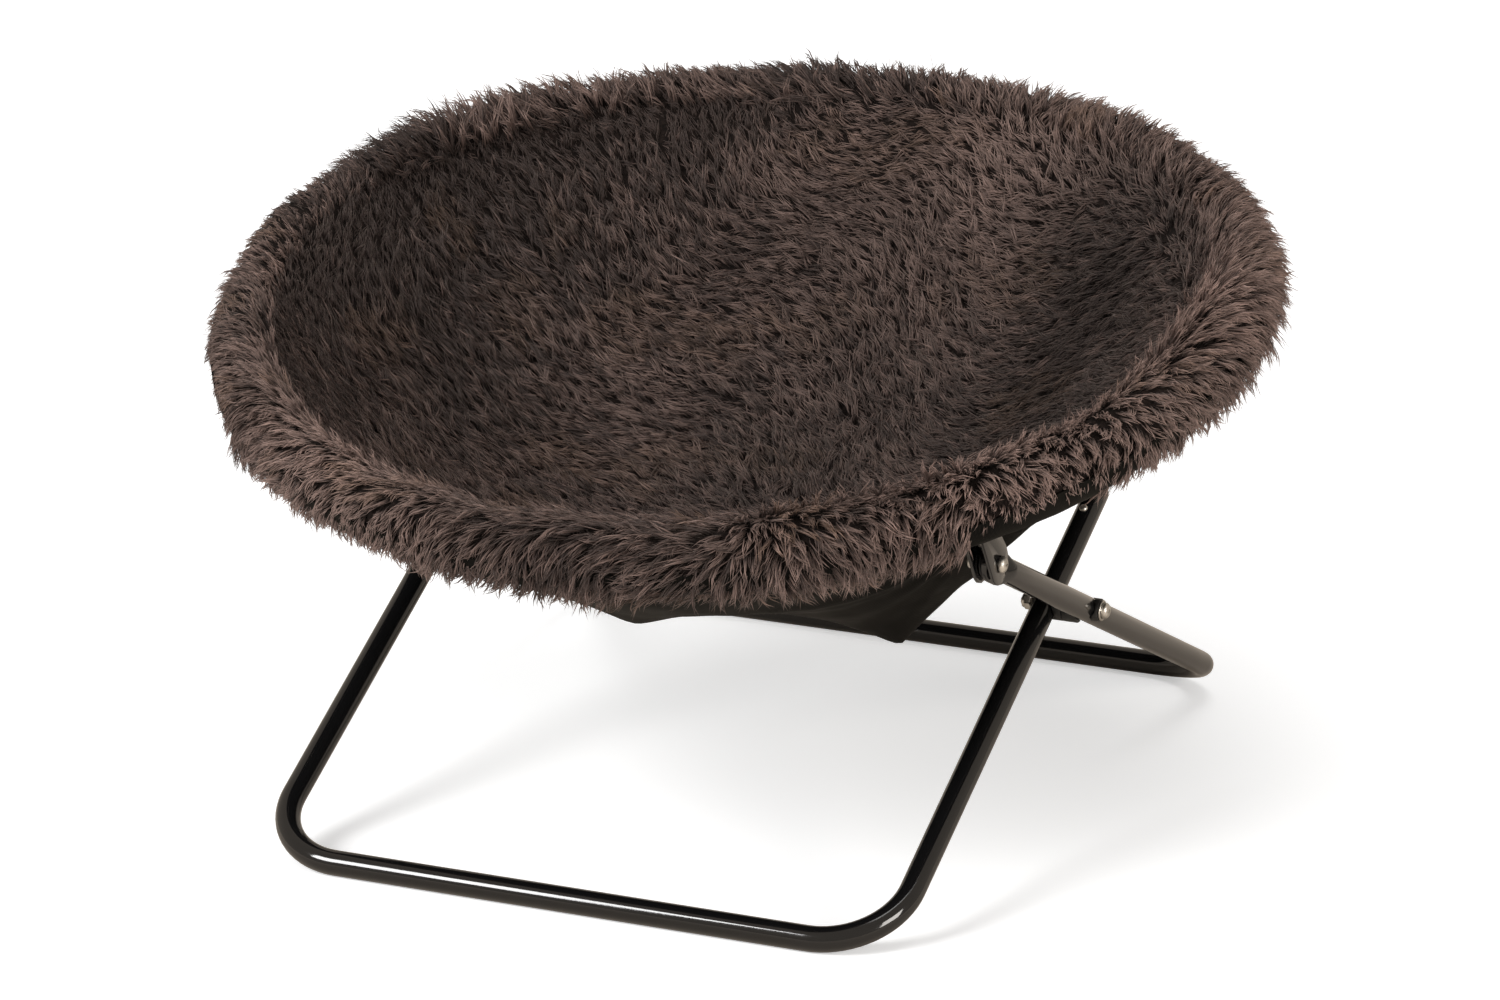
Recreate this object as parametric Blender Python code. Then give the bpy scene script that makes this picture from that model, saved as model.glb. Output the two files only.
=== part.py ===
"""Folding pet nest: a padded dish hung in a round tube hoop, on two U-shaped tube frames that cross in an X.

Metres, +Z up. +X points to the right and the nest is entered from -Y. The origin is on the floor, in
the middle of the footprint, and lengths in Y are measured from the bolts where the two leg frames cross
until the whole nest is moved onto it at the end. The frames, the hoop's halves and the four hangers form
a folding rhombus, so the hoop folds down at its two side hinges as the legs close.
"""

import math

import bmesh
import bpy
from mathutils import Vector

# Fits between pieces
CLEARANCE = 0.0003
OVERRUN = 0.004
REACH = 0.08

# Steel tube
TUBE_RADIUS = 0.0065
TUBE_WALL = 0.0012
TUBE_SIDES = 10
TUBE_CORNER = TUBE_RADIUS / math.cos(math.pi / TUBE_SIDES)

# Hoop
HOOP_RADIUS = 0.2575
HINGE_DROP = 0.012
FRONT_TILT = math.radians(14.5)
REAR_TILT = math.radians(8)
BUTT_GAP = 0.0004
HOOP_STEPS = 24

# Leg frames. Seen from above, the outer frame's hanger bolts stand inside the hoop by the setback, at
# HANGER_ANGLE from the line through the pivot bolts.
LEG_ANGLE = math.radians(26)
FOOT_REACH = 0.2208
HANGER_SETBACK = 0.0213
HANGER_ANGLE = math.radians(36.13)
FRAME_GAP = 0.0086
OUTER_HALF_WIDTH = (HOOP_RADIUS - HANGER_SETBACK) * math.cos(HANGER_ANGLE)
INNER_HALF_WIDTH = OUTER_HALF_WIDTH - 2 * TUBE_RADIUS - FRAME_GAP
BEND_RADIUS = 0.041
BEND_STEPS = 5
FLAT_THICKNESS = 0.0044
FLAT_WIDTH = 0.0184
FLAT_SQUARENESS = 0.5
FLARE_LENGTH = 0.011
OUTER_FLAT_LENGTH = 0.0125
INNER_FLAT_LENGTH = 0.061
TIP_ANGLES = (75, 50, 25)

# The folding rhombus
PIVOT_Z = TUBE_RADIUS + FOOT_REACH * math.tan(LEG_ANGLE)
LINK_Y = (HOOP_RADIUS - HANGER_SETBACK) * math.sin(HANGER_ANGLE)
LINK = LINK_Y / math.cos(LEG_ANGLE)
LINK_Z = PIVOT_Z + LINK * math.sin(LEG_ANGLE)
HINGE_Z = PIVOT_Z + 2 * LINK * math.sin(LEG_ANGLE)
HOOP_Z = HINGE_Z + HINGE_DROP

# Pivot bolts and their stack
BOLT_RADIUS = 0.0025
HEAD_RADIUS = 0.0043
HEAD_HEIGHT = 0.003
BOLT_SIDES = 12
SCREW_SIDES = 8
NUT_CORNER = 0.0046
NUT_HEIGHT = 0.0036
COLLAR_RADIUS = 0.0037
COLLAR_HEIGHT = 0.0014
THREAD_STANDOUT = 0.0008
WASHER_RADIUS = 0.0053
WASHER_THICKNESS = 0.001
SADDLE_RADIUS = 0.006
SADDLE_BACK = 0.0012
SADDLE_GRIP = 0.0028
SPACER_RADIUS = 0.008
SPACER_GRIP = 0.003

# Hangers between the hoop and the frames' flattened ends
PLATE = 0.0016
NYLON_THICKNESS = 0.001
NYLON_RADIUS = 0.007
EAR_GAP = FLAT_THICKNESS + 2 * NYLON_THICKNESS + 4 * CLEARANCE
HANGER_HALF_WIDTH = EAR_GAP / 2 + PLATE
EAR_RADIUS = 0.0105
EAR_TOP = 0.007
EAR_STEPS = 8
WEB_START = 0.0125
PAD_THICKNESS = 0.004
SADDLE_DEPTH = 0.0036
SCREW_RADIUS = 0.0018
SCREW_HEAD = 0.0033
SCREW_HEAD_HEIGHT = 0.002

# Hoop hinges
HINGE_EAR = 0.0045
HINGE_LENGTH = 0.024
HINGE_START = 0.0012
HINGE_PAD = 0.003
LUG_THICKNESS = 0.0044
HINGE_HALF_WIDTH = LUG_THICKNESS / 2 + CLEARANCE + PLATE
HINGE_SLOT = HINGE_EAR + 2 * CLEARANCE
PIN_RADIUS = 0.002
PIN_HEAD = 0.0033
PIN_HEAD_HEIGHT = 0.0014
RIVET_PLACE = 0.0165

# Dome rivets on the front leg frame, a setback below the flare of its flattened ends
DOME_SETBACK = 0.0185
DOME_PLACE = LINK - INNER_FLAT_LENGTH - FLARE_LENGTH - DOME_SETBACK
DOME_RADIUS = 0.0022
DOME_HEIGHT = 0.0015
DOME_SHANK = 0.0012

# Rolled rim
ROLL_RADIUS = 0.0195
ROLL_LUMPS = 9
ROLL_LUMP_SHARE = 0.035
ROLL_NOTCH_HALF = 0.0095
HANGER_NOTCH_DEPTH = 0.03
RELIEF_HALF = 0.0078
RELIEF_LENGTH = 0.028

# Dish: the plush, the wadding under it and the woven sling that carries both. The plush lies SEAT_HEIGHT
# above the pivot bolts.
BOWL_POWER = 2.8
SEAT_RADIUS = ROLL_RADIUS * (1 + ROLL_LUMP_SHARE) + 3 * CLEARANCE
SEAT_HEIGHT = 0.0308
PLUSH_TOP_DEPTH = HOOP_Z - PIVOT_Z - SEAT_HEIGHT
PLUSH_THICKNESS = 0.008
WADDING_THICKNESS = 0.012
SLING_THICKNESS = 0.002
LAYER_GAP = 0.0005
PLUSH_SEATS = (math.radians(-25), math.radians(2))
WADDING_SEATS = (math.radians(4), math.radians(20))
SLING_SEATS = (math.radians(24), math.radians(34))
PARTING_GAP = 0.001
STRIPS = 18
STRIP_END = math.radians(6)
STRIP_POINTS = 7
# Soft lobes of the sling: place across, place to the rear, half width, drop
LOBE_SHARES = ((0.5, -0.37, 0.18, 0.24), (-0.15, -0.56, 0.2, 0.1))

# The hoop's two halves fold through this angle and no further
FOLD_ANGLE = math.radians(121)
# The middle of the footprint, to the rear of the pivot bolts
MIDDLE_Y = 0.0027

FRONT, REAR = -1, 1
RIGHT, LEFT = 1, -1
UP = Vector((0, 0, 1))
BODIES = {}


def clear_scene():
    """Removes every object that the scene starts with."""
    for thing in list(bpy.data.objects):
        bpy.data.objects.remove(thing, do_unlink=True)


def material(name, colour, roughness, metallic=0.0):
    """A Principled material with one colour."""
    made = bpy.data.materials.get(name)
    if made:
        return made
    made = bpy.data.materials.new(name)
    made.use_nodes = True
    shader = made.node_tree.nodes["Principled BSDF"]
    shader.inputs["Base Color"].default_value = (*colour, 1)
    shader.inputs["Roughness"].default_value = roughness
    shader.inputs["Metallic"].default_value = metallic
    made.diffuse_color = (*colour, 1)
    return made


def black_paint():
    """Gloss black paint on tube and plate."""
    return material("black_paint", (0.012, 0.012, 0.013), 0.16)


def zinc():
    """Bright zinc plating on bolts, nuts, washers and rivets."""
    return material("zinc", (0.62, 0.61, 0.58), 0.28, 1.0)


def black_plastic():
    """Moulded black plastic of spacers and saddle washers."""
    return material("black_plastic", (0.02, 0.02, 0.02), 0.45)


def nylon():
    """Black nylon of the thin washers."""
    return material("nylon", (0.02, 0.02, 0.02), 0.5)


def plush():
    """Dark brown long-pile plush."""
    return material("plush", (0.075, 0.05, 0.042), 0.95)


def wadding():
    """White polyester wadding inside the pad."""
    return material("wadding", (0.75, 0.74, 0.72), 0.95)


def woven():
    """Black woven polyester of the sling."""
    return material("black_weave", (0.014, 0.013, 0.013), 0.8)


def body(name, location):
    """An empty on the joint that turns a group of pieces."""
    empty = bpy.data.objects.new(name, None)
    empty.location = location
    bpy.context.scene.collection.objects.link(empty)
    BODIES[name] = empty


def finish(name, mesh, dress, carrier, origin=None, direction=None, cutter=False):
    """Makes a bmesh into an object that its body carries.

    With an origin, the mesh is local and its +X is turned to the direction. Without one, its points
    are the real places, measured from the pivot bolts, and its origin goes to the body's joint.
    """
    empty = BODIES[carrier]
    if origin is None:
        bmesh.ops.translate(mesh, verts=mesh.verts, vec=-empty.location)
        origin = empty.location
    data = bpy.data.meshes.new(name)
    mesh.to_mesh(data)
    mesh.free()
    data.shade_smooth()
    data.set_sharp_from_angle(angle=math.radians(40))
    data.materials.append(dress)
    made = bpy.data.objects.new(name, data)
    bpy.context.scene.collection.objects.link(made)
    made.parent = empty
    made.location = origin - empty.location
    if direction is not None:
        made.rotation_mode = "QUATERNION"
        made.rotation_quaternion = Vector((1, 0, 0)).rotation_difference(direction)
    if cutter:
        made.hide_render = True
        made.display_type = "WIRE"
    return made


def cut(piece, cutter):
    """Cuts a hollow out of a piece with a Boolean."""
    modifier = piece.modifiers.new(cutter.name, "BOOLEAN")
    modifier.operation = "DIFFERENCE"
    modifier.object = cutter


def ring(centre, across, up, half_across, half_up, turn=0.0, squareness=1.0, sides=TUBE_SIDES):
    """The points of one round or flattened section."""
    points = []
    for step in range(sides):
        angle = turn + math.tau * (step + 0.5) / sides
        wide = math.copysign(abs(math.cos(angle)) ** squareness, math.cos(angle))
        points.append(centre + across * half_across * wide + up * half_up * math.sin(angle))
    return points


def skin(mesh, rings, wrapped=False, inward=False):
    """One closed skin through rings of equal count, capped at its ends or joined end to end."""
    loops = [[mesh.verts.new(point) for point in points] for points in rings]
    pairs = list(zip(loops, loops[1:]))
    if wrapped:
        pairs.append((loops[-1], loops[0]))
    faces = []
    for first, second in pairs:
        for step in range(len(first)):
            after = (step + 1) % len(first)
            faces.append(mesh.faces.new((first[step], first[after], second[after], second[step])))
    if not wrapped:
        faces.append(mesh.faces.new(loops[0]))
        faces.append(mesh.faces.new(loops[-1]))
    bmesh.ops.recalc_face_normals(mesh, faces=faces)
    if inward:
        bmesh.ops.reverse_faces(mesh, faces=faces)


def turned(stations, bore=None, sides=BOLT_SIDES):
    """A piece turned about X, from (place, radius) stations, with or without a bore."""
    mesh = bmesh.new()
    axes = Vector((0, 1, 0)), UP
    rings = [ring(Vector((x, 0, 0)), *axes, radius, radius, sides=sides) for x, radius in stations]
    if bore:
        for x in (stations[-1][0], stations[0][0]):
            rings.append(ring(Vector((x, 0, 0)), *axes, bore, bore, sides=sides))
    skin(mesh, rings, wrapped=bool(bore))
    return mesh


def prism(outline, half_width):
    """An outline in the YZ plane, extruded both ways along X."""
    mesh = bmesh.new()
    rings = [[Vector((x, y, z)) for y, z in outline] for x in (-half_width, half_width)]
    skin(mesh, rings)
    return mesh


def rod_cutter(name, carrier, start, direction, radius, length):
    """A round cutter from a start along a direction."""
    mesh = turned([(0, radius), (length, radius)])
    return finish(name, mesh, zinc(), carrier, start, direction, cutter=True)


def side_name(side):
    """The word for a side of the nest."""
    return "right" if side == RIGHT else "left"


# Leg frames


def leg_axes(toward):
    """The direction up the legs and the normal of a leg frame whose upper ends lie front or rear."""
    along = Vector((0, toward * math.cos(LEG_ANGLE), math.sin(LEG_ANGLE)))
    normal = Vector((0, -toward * math.sin(LEG_ANGLE), math.cos(LEG_ANGLE)))
    return along, normal


def leg_sections(half_width, flat_length, inset):
    """Half of a U frame, from the flattened tip to the foot bar, as (x, along, angle, across, up, square)."""
    foot = FOOT_REACH / math.cos(LEG_ANGLE)
    round_half = TUBE_CORNER - inset
    flat_half, flat_wide = FLAT_THICKNESS / 2 - inset, FLAT_WIDTH / 2 - inset
    sections = []
    if inset:
        sections.append((half_width, LINK + BOLT_RADIUS, 0, flat_half, flat_wide, FLAT_SQUARENESS))
    else:
        for degrees in TIP_ANGLES:
            angle = math.radians(degrees)
            place = LINK + flat_wide * math.sin(angle)
            sections.append((half_width, place, 0, flat_half, flat_wide * math.cos(angle), FLAT_SQUARENESS))
        sections.append((half_width, LINK, 0, flat_half, flat_wide, FLAT_SQUARENESS))
    sections.append((half_width, LINK - flat_length, 0, flat_half, flat_wide, FLAT_SQUARENESS))
    sections.append((half_width, LINK - flat_length - FLARE_LENGTH, 0, round_half, round_half, 1))
    for step in range(BEND_STEPS + 1):
        angle = -math.pi / 2 * step / BEND_STEPS
        x = half_width - BEND_RADIUS + BEND_RADIUS * math.cos(angle)
        along = -foot + BEND_RADIUS + BEND_RADIUS * math.sin(angle)
        sections.append((x, along, angle, round_half, round_half, 1))
    return sections


def leg_rings(toward, half_width, flat_length, inset):
    """The sections of a whole U frame as rings of points."""
    along, normal = leg_axes(toward)
    half = leg_sections(half_width, flat_length, inset)
    mirrored = [(-x, place, math.pi - angle, *rest) for x, place, angle, *rest in reversed(half)]
    rings = []
    for x, place, angle, half_across, half_up, squareness in half + mirrored:
        centre = Vector((x, 0, PIVOT_Z)) + along * place
        across = Vector((math.cos(angle), 0, 0)) + along * math.sin(angle)
        turn = LEG_ANGLE - math.pi / 2
        rings.append(ring(centre, across, normal, half_across, half_up, turn, squareness))
    return rings


def leg_frame(name, carrier, toward, half_width, flat_length):
    """A U frame of hollow tube with flattened, drilled upper ends."""
    mesh = bmesh.new()
    skin(mesh, leg_rings(toward, half_width, flat_length, 0))
    skin(mesh, leg_rings(toward, half_width, flat_length, TUBE_WALL), inward=True)
    frame = finish(name, mesh, black_paint(), carrier)
    along, _ = leg_axes(toward)
    reach = half_width + 2 * TUBE_RADIUS
    for place, what in ((0, "pivot_drill"), (LINK, "end_drill")):
        start = Vector((-reach, 0, PIVOT_Z)) + along * place
        radius = BOLT_RADIUS + CLEARANCE
        cut(frame, rod_cutter(f"{name}_{what}", carrier, start, Vector((1, 0, 0)), radius, 2 * reach))
    return frame


def dome_rivets(frame):
    """Dome rivets in the front faces of the front leg frame's side tubes."""
    along, normal = leg_axes(REAR)
    for side in (RIGHT, LEFT):
        centre = Vector((side * INNER_HALF_WIDTH, 0, PIVOT_Z)) + along * DOME_PLACE
        seat = centre + normal * (TUBE_CORNER + CLEARANCE)
        stations = [
            (-TUBE_WALL - OVERRUN, DOME_SHANK),
            (0, DOME_SHANK),
            (0, DOME_RADIUS),
            (DOME_HEIGHT * 0.5, DOME_RADIUS * 0.87),
            (DOME_HEIGHT, DOME_RADIUS * 0.4),
        ]
        mesh = turned(stations, sides=SCREW_SIDES)
        finish(f"frame_rivet_{side_name(side)}", mesh, zinc(), "front_legs", seat, normal)
        radius = DOME_SHANK + CLEARANCE
        drill = rod_cutter(f"rivet_drill_{side_name(side)}", "front_legs", centre, normal, radius, REACH)
        cut(frame, drill)


# Bolts, nuts and washers


def bolt(name, carrier, seat, outward, grip):
    """A pan-head bolt whose head bears on the seat and whose shank runs back through the grip."""
    length = grip + NUT_HEIGHT + COLLAR_HEIGHT + THREAD_STANDOUT
    stations = [
        (-length, BOLT_RADIUS),
        (0, BOLT_RADIUS),
        (0, HEAD_RADIUS),
        (HEAD_HEIGHT * 0.5, HEAD_RADIUS * 0.94),
        (HEAD_HEIGHT * 0.85, HEAD_RADIUS * 0.7),
        (HEAD_HEIGHT, HEAD_RADIUS * 0.35),
    ]
    return finish(name, turned(stations), zinc(), carrier, seat, outward)


def nut(name, carrier, seat, inward):
    """A lock nut: a hexagon with a plain collar for its insert."""
    mesh = bmesh.new()
    bore = BOLT_RADIUS + CLEARANCE
    hexagon = []
    for step in range(BOLT_SIDES):
        angle = math.tau * step / BOLT_SIDES
        reach = NUT_CORNER * (1 if step % 2 == 0 else math.cos(math.pi / 6))
        hexagon.append((math.cos(angle) * reach, math.sin(angle) * reach))

    def round_ring(x, radius):
        turn = -math.pi / BOLT_SIDES
        return ring(Vector((x, 0, 0)), Vector((0, 1, 0)), UP, radius, radius, turn, sides=BOLT_SIDES)

    def hex_ring(x):
        return [Vector((x, y, z)) for y, z in hexagon]

    rings = [
        round_ring(0, bore),
        hex_ring(0),
        hex_ring(NUT_HEIGHT),
        round_ring(NUT_HEIGHT, COLLAR_RADIUS),
        round_ring(NUT_HEIGHT + COLLAR_HEIGHT, COLLAR_RADIUS * 0.92),
        round_ring(NUT_HEIGHT + COLLAR_HEIGHT, bore),
    ]
    skin(mesh, rings, wrapped=True)
    return finish(name, mesh, zinc(), carrier, seat, inward)


def washer(name, dress, carrier, seat, outward, radius, thickness):
    """A flat washer that stands out from its seat."""
    mesh = turned([(0, radius), (thickness, radius)], bore=BOLT_RADIUS + CLEARANCE)
    return finish(name, mesh, dress, carrier, seat, outward)


def tube_cutter(side, half_width, carrier):
    """A cutter that follows a side tube past the pivot, a clearance larger."""
    toward = REAR if carrier == "front_legs" else FRONT
    along, _ = leg_axes(toward)
    start = Vector((side * half_width, 0, PIVOT_Z)) - along * REACH
    name = f"side_tube_{side_name(side)}_{carrier}"
    return rod_cutter(name, carrier, start, along, TUBE_CORNER + CLEARANCE, 2 * REACH)


def pivot_stack(side):
    """The bolt where the side tubes cross, with its washers, nut and the two spacers that swing on each other."""
    outward = Vector((side, 0, 0))
    inner_tube = tube_cutter(side, INNER_HALF_WIDTH, "front_legs")
    outer_tube = tube_cutter(side, OUTER_HALF_WIDTH, "rear_legs")
    bore = BOLT_RADIUS + CLEARANCE
    word = side_name(side)

    def place(x):
        return Vector((side * x, 0, PIVOT_Z))

    middle = (INNER_HALF_WIDTH + OUTER_HALF_WIDTH) / 2
    length = middle - CLEARANCE / 2 - INNER_HALF_WIDTH - SPACER_GRIP
    for name, carrier, tube, start in (
        ("pivot_spacer_inner", "front_legs", inner_tube, INNER_HALF_WIDTH + SPACER_GRIP),
        ("pivot_spacer_outer", "rear_legs", outer_tube, middle + CLEARANCE / 2),
    ):
        mesh = turned([(0, SPACER_RADIUS), (length, SPACER_RADIUS)], bore=bore)
        cut(finish(f"{name}_{word}", mesh, black_plastic(), carrier, place(start), outward), tube)

    face = OUTER_HALF_WIDTH + TUBE_CORNER + CLEARANCE + SADDLE_BACK
    thickness = face - OUTER_HALF_WIDTH - TUBE_RADIUS + SADDLE_GRIP
    start = place(face - thickness)
    name = f"pivot_saddle_washer_{word}"
    saddle = washer(name, black_plastic(), "rear_legs", start, outward, SADDLE_RADIUS, thickness)
    cut(saddle, outer_tube)

    washer_seat = face + CLEARANCE
    head_seat = washer_seat + WASHER_THICKNESS + CLEARANCE
    nut_seat = INNER_HALF_WIDTH - TUBE_CORNER - CLEARANCE
    args = zinc(), "front_legs", place(washer_seat), outward, WASHER_RADIUS, WASHER_THICKNESS
    washer(f"pivot_washer_{word}", *args)
    bolt(f"pivot_bolt_{word}", "front_legs", place(head_seat), outward, head_seat - nut_seat)
    nut(f"pivot_nut_{word}", "front_legs", place(nut_seat), -outward)


# Hoop


def tilt_of(half):
    """How steeply one half of the hoop lies."""
    return FRONT_TILT if half == FRONT else REAR_TILT


def hoop_frame(half, angle):
    """Centre, outward direction and upward direction of the hoop's section at an angle from +X."""
    tilt = tilt_of(half)
    y_axis = Vector((0, math.cos(tilt), math.sin(tilt)))
    outward = Vector((math.cos(angle), 0, 0)) + y_axis * (half * math.sin(angle))
    normal = Vector((0, -math.sin(tilt), math.cos(tilt)))
    up = UP.lerp(normal, math.sin(angle)).normalized()
    return Vector((0, 0, HOOP_Z)) + outward * HOOP_RADIUS, outward, up


def hoop_angles():
    """Evenly spaced angles round half of the hoop, from butt face to butt face."""
    start = math.asin(BUTT_GAP / 2 / HOOP_RADIUS)
    sweep = math.pi - 2 * start
    return [start + sweep * step / HOOP_STEPS for step in range(HOOP_STEPS + 1)]


def hoop_rings(half, radius):
    """Round sections along half of the hoop. The radius is a length or a function of the angle."""
    rings = []
    for angle in hoop_angles():
        centre, outward, up = hoop_frame(half, angle)
        size = radius(angle) if callable(radius) else radius
        rings.append(ring(centre, outward, up, size, size))
    return rings


def hoop_half(name, carrier, half):
    """Half of the hoop, an open-ended tube."""
    mesh = bmesh.new()
    rings = hoop_rings(half, TUBE_CORNER) + hoop_rings(half, TUBE_CORNER - TUBE_WALL)[::-1]
    skin(mesh, rings, wrapped=True)
    return finish(name, mesh, black_paint(), carrier)


def hoop_cutter(name, carrier, half):
    """A cutter that follows half of the hoop, a clearance larger."""
    mesh = bmesh.new()
    skin(mesh, hoop_rings(half, TUBE_CORNER + CLEARANCE))
    return finish(name, mesh, zinc(), carrier, cutter=True)


def screw(name, carrier, seat, direction, length):
    """A small pan-head screw under a pad, up into the hoop's tube."""
    stations = [
        (-SCREW_HEAD_HEIGHT, SCREW_HEAD * 0.6),
        (-SCREW_HEAD_HEIGHT * 0.6, SCREW_HEAD * 0.92),
        (0, SCREW_HEAD),
        (0, SCREW_RADIUS),
        (length, SCREW_RADIUS),
    ]
    return finish(name, turned(stations, sides=SCREW_SIDES), zinc(), carrier, seat, direction)


# Hangers


def hanger_places(half, side):
    """The hanger's bolt, the hoop's centre above it, and the unit vector between them with the length."""
    half_width = OUTER_HALF_WIDTH if half == FRONT else INNER_HALF_WIDTH
    pivot = Vector((side * half_width, half * LINK_Y, LINK_Z))
    angle = math.acos(half_width / HOOP_RADIUS)
    centre, _, _ = hoop_frame(half, angle)
    centre.x = pivot.x
    up = centre - pivot
    return pivot, up.normalized(), up.length


def hanger_outline(length):
    """Side outline of a hanger in (y, z) from its bolt, before it is turned: the hoop is up +Z."""
    top = length - TUBE_RADIUS + SADDLE_DEPTH
    outline = []
    for step in range(EAR_STEPS + 1):
        angle = math.pi + math.pi * step / EAR_STEPS
        outline.append((EAR_RADIUS * math.cos(angle), EAR_RADIUS * math.sin(angle)))
    outline.append((EAR_TOP, top))
    outline.append((-EAR_TOP, top))
    return outline


def slot_outline(half, length):
    """The room between a hanger's ears, open at the foot and on the side that the leg swings through."""
    under = length - TUBE_RADIUS - PAD_THICKNESS
    top = length - TUBE_RADIUS + SADDLE_DEPTH
    web = -half

    def web_edge(z):
        return web * (EAR_RADIUS + (EAR_TOP - EAR_RADIUS) * z / top - PLATE)

    far = 2 * EAR_RADIUS
    return [
        (-web * far, -far),
        (web * far, -far),
        (web * far, WEB_START),
        (web_edge(WEB_START), WEB_START),
        (web_edge(under), under),
        (-web * far, under),
    ]


def turned_outline(outline, up):
    """An outline turned in the YZ plane so that its +Z lies along up."""
    return [(y * up.z + z * up.y, -y * up.y + z * up.z) for y, z in outline]


def hanger(half, side, hoop, hoop_shape):
    """A channel hanger with its washers, bolt, nut and the screw that holds it to the hoop."""
    carrier = "front_hoop" if half == FRONT else "rear_hoop"
    word = "front" if half == FRONT else "rear"
    hand = side_name(side)
    pivot, up, length = hanger_places(half, side)
    outward = Vector((side, 0, 0))
    outline = turned_outline(hanger_outline(length), up)
    mesh = prism(outline, HANGER_HALF_WIDTH)
    made = finish(f"{word}_hanger_{hand}", mesh, black_paint(), carrier, pivot)
    slot = prism(turned_outline(slot_outline(half, length), up), EAR_GAP / 2)
    cut(made, finish(f"{word}_slot_{hand}", slot, zinc(), carrier, pivot, cutter=True))
    cut(made, hoop_shape)
    start = pivot - outward * REACH / 2
    drill = rod_cutter(f"{word}_ear_drill_{hand}", carrier, start, outward, BOLT_RADIUS + CLEARANCE, REACH)
    cut(made, drill)

    under = length - TUBE_RADIUS - PAD_THICKNESS
    seat = pivot + up * (under - CLEARANCE)
    shank = PAD_THICKNESS + TUBE_RADIUS
    screw(f"{word}_hanger_screw_{hand}", carrier, seat, up, shank)
    start = pivot + up * (under - OVERRUN)
    hole = rod_cutter(f"{word}_screw_drill_{hand}", carrier, start, up, SCREW_RADIUS + CLEARANCE, shank + OVERRUN)
    cut(made, hole)
    cut(hoop, hole)

    inside = FLAT_THICKNESS / 2 + CLEARANCE
    for sign, where in ((1, "outer"), (-1, "inner")):
        start = pivot + outward * sign * inside
        name = f"{word}_nylon_washer_{where}_{hand}"
        washer(name, nylon(), carrier, start, outward * sign, NYLON_RADIUS, NYLON_THICKNESS)
    half_grip = HANGER_HALF_WIDTH + CLEARANCE
    bolt(f"{word}_hanger_bolt_{hand}", carrier, pivot + outward * half_grip, outward, 2 * half_grip)
    nut(f"{word}_hanger_nut_{hand}", carrier, pivot - outward * half_grip, -outward)


# Hoop hinges


def butt_point(half, along, above):
    """A place (y, z) from the hinge pin, measured along the tilted hoop and square to it."""
    tilt = tilt_of(half)
    y = half * along * math.cos(tilt) - above * math.sin(tilt)
    z = HINGE_DROP + half * along * math.sin(tilt) + above * math.cos(tilt)
    return y, z


def hinge_outline(half):
    """Side outline of a hinge half in (y, z) from its pin."""
    top = SADDLE_DEPTH - TUBE_RADIUS
    under = -TUBE_RADIUS - HINGE_PAD
    outline = []
    for step in range(EAR_STEPS + 1):
        angle = math.radians(-20) - math.radians(200) * (EAR_STEPS - step) / EAR_STEPS
        outline.append((-half * HINGE_EAR * math.cos(angle), HINGE_EAR * math.sin(angle)))
    outline.append((half * HINGE_START, HINGE_EAR))
    outline.append((half * HINGE_START, HINGE_DROP + top))
    outline.append(butt_point(half, HINGE_LENGTH, top))
    outline.append(butt_point(half, HINGE_LENGTH, under))
    return outline


def hinge_half(half, side, hoop, hoop_shape):
    """The lug or the pair of ears under one butt end of the hoop, with its screw."""
    carrier = "front_hoop" if half == FRONT else "rear_hoop"
    word = "front" if half == FRONT else "rear"
    hand = side_name(side)
    pin = Vector((side * HOOP_RADIUS, 0, HINGE_Z))
    wide = HINGE_HALF_WIDTH if half == FRONT else LUG_THICKNESS / 2
    mesh = prism(hinge_outline(half), wide)
    name = f"hinge_{'ears' if half == FRONT else 'lug'}_{hand}"
    made = finish(name, mesh, black_paint(), carrier, pin)
    if half == FRONT:
        far = 2 * HINGE_LENGTH
        outline = [(-HINGE_SLOT, -far), (far, -far), (far, far), (-HINGE_SLOT, far)]
        slot = prism(outline, LUG_THICKNESS / 2 + CLEARANCE)
        cut(made, finish(f"hinge_slot_{hand}", slot, zinc(), carrier, pin, cutter=True))
    cut(made, hoop_shape)
    x_axis = Vector((1, 0, 0))
    start = pin - x_axis * REACH / 2
    radius = PIN_RADIUS + CLEARANCE
    cut(made, rod_cutter(f"{name}_drill", carrier, start, x_axis, radius, REACH))

    normal = Vector((0, -math.sin(tilt_of(half)), math.cos(tilt_of(half))))
    y, z = butt_point(half, RIVET_PLACE, -TUBE_RADIUS - HINGE_PAD - CLEARANCE)
    seat = pin + Vector((0, y, z))
    shank = HINGE_PAD + TUBE_RADIUS
    screw(f"{word}_hinge_screw_{hand}", carrier, seat, normal, shank)
    start = seat - normal * OVERRUN
    radius = SCREW_RADIUS + CLEARANCE
    hole = rod_cutter(f"{name}_screw_drill", carrier, start, normal, radius, shank + OVERRUN)
    cut(made, hole)
    cut(hoop, hole)


def hinge_pin(side):
    """The headed pin of one hoop hinge."""
    seat = HINGE_HALF_WIDTH + CLEARANCE
    stations = [
        (-seat - PIN_HEAD_HEIGHT, PIN_HEAD * 0.7),
        (-seat, PIN_HEAD),
        (-seat, PIN_RADIUS),
        (seat, PIN_RADIUS),
        (seat, PIN_HEAD),
        (seat + PIN_HEAD_HEIGHT, PIN_HEAD * 0.7),
    ]
    pin = Vector((side * HOOP_RADIUS, 0, HINGE_Z))
    mesh = turned(stations, sides=SCREW_SIDES)
    finish(f"hinge_pin_{side_name(side)}", mesh, zinc(), "rear_hoop", pin)


# Soft parts


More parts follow.
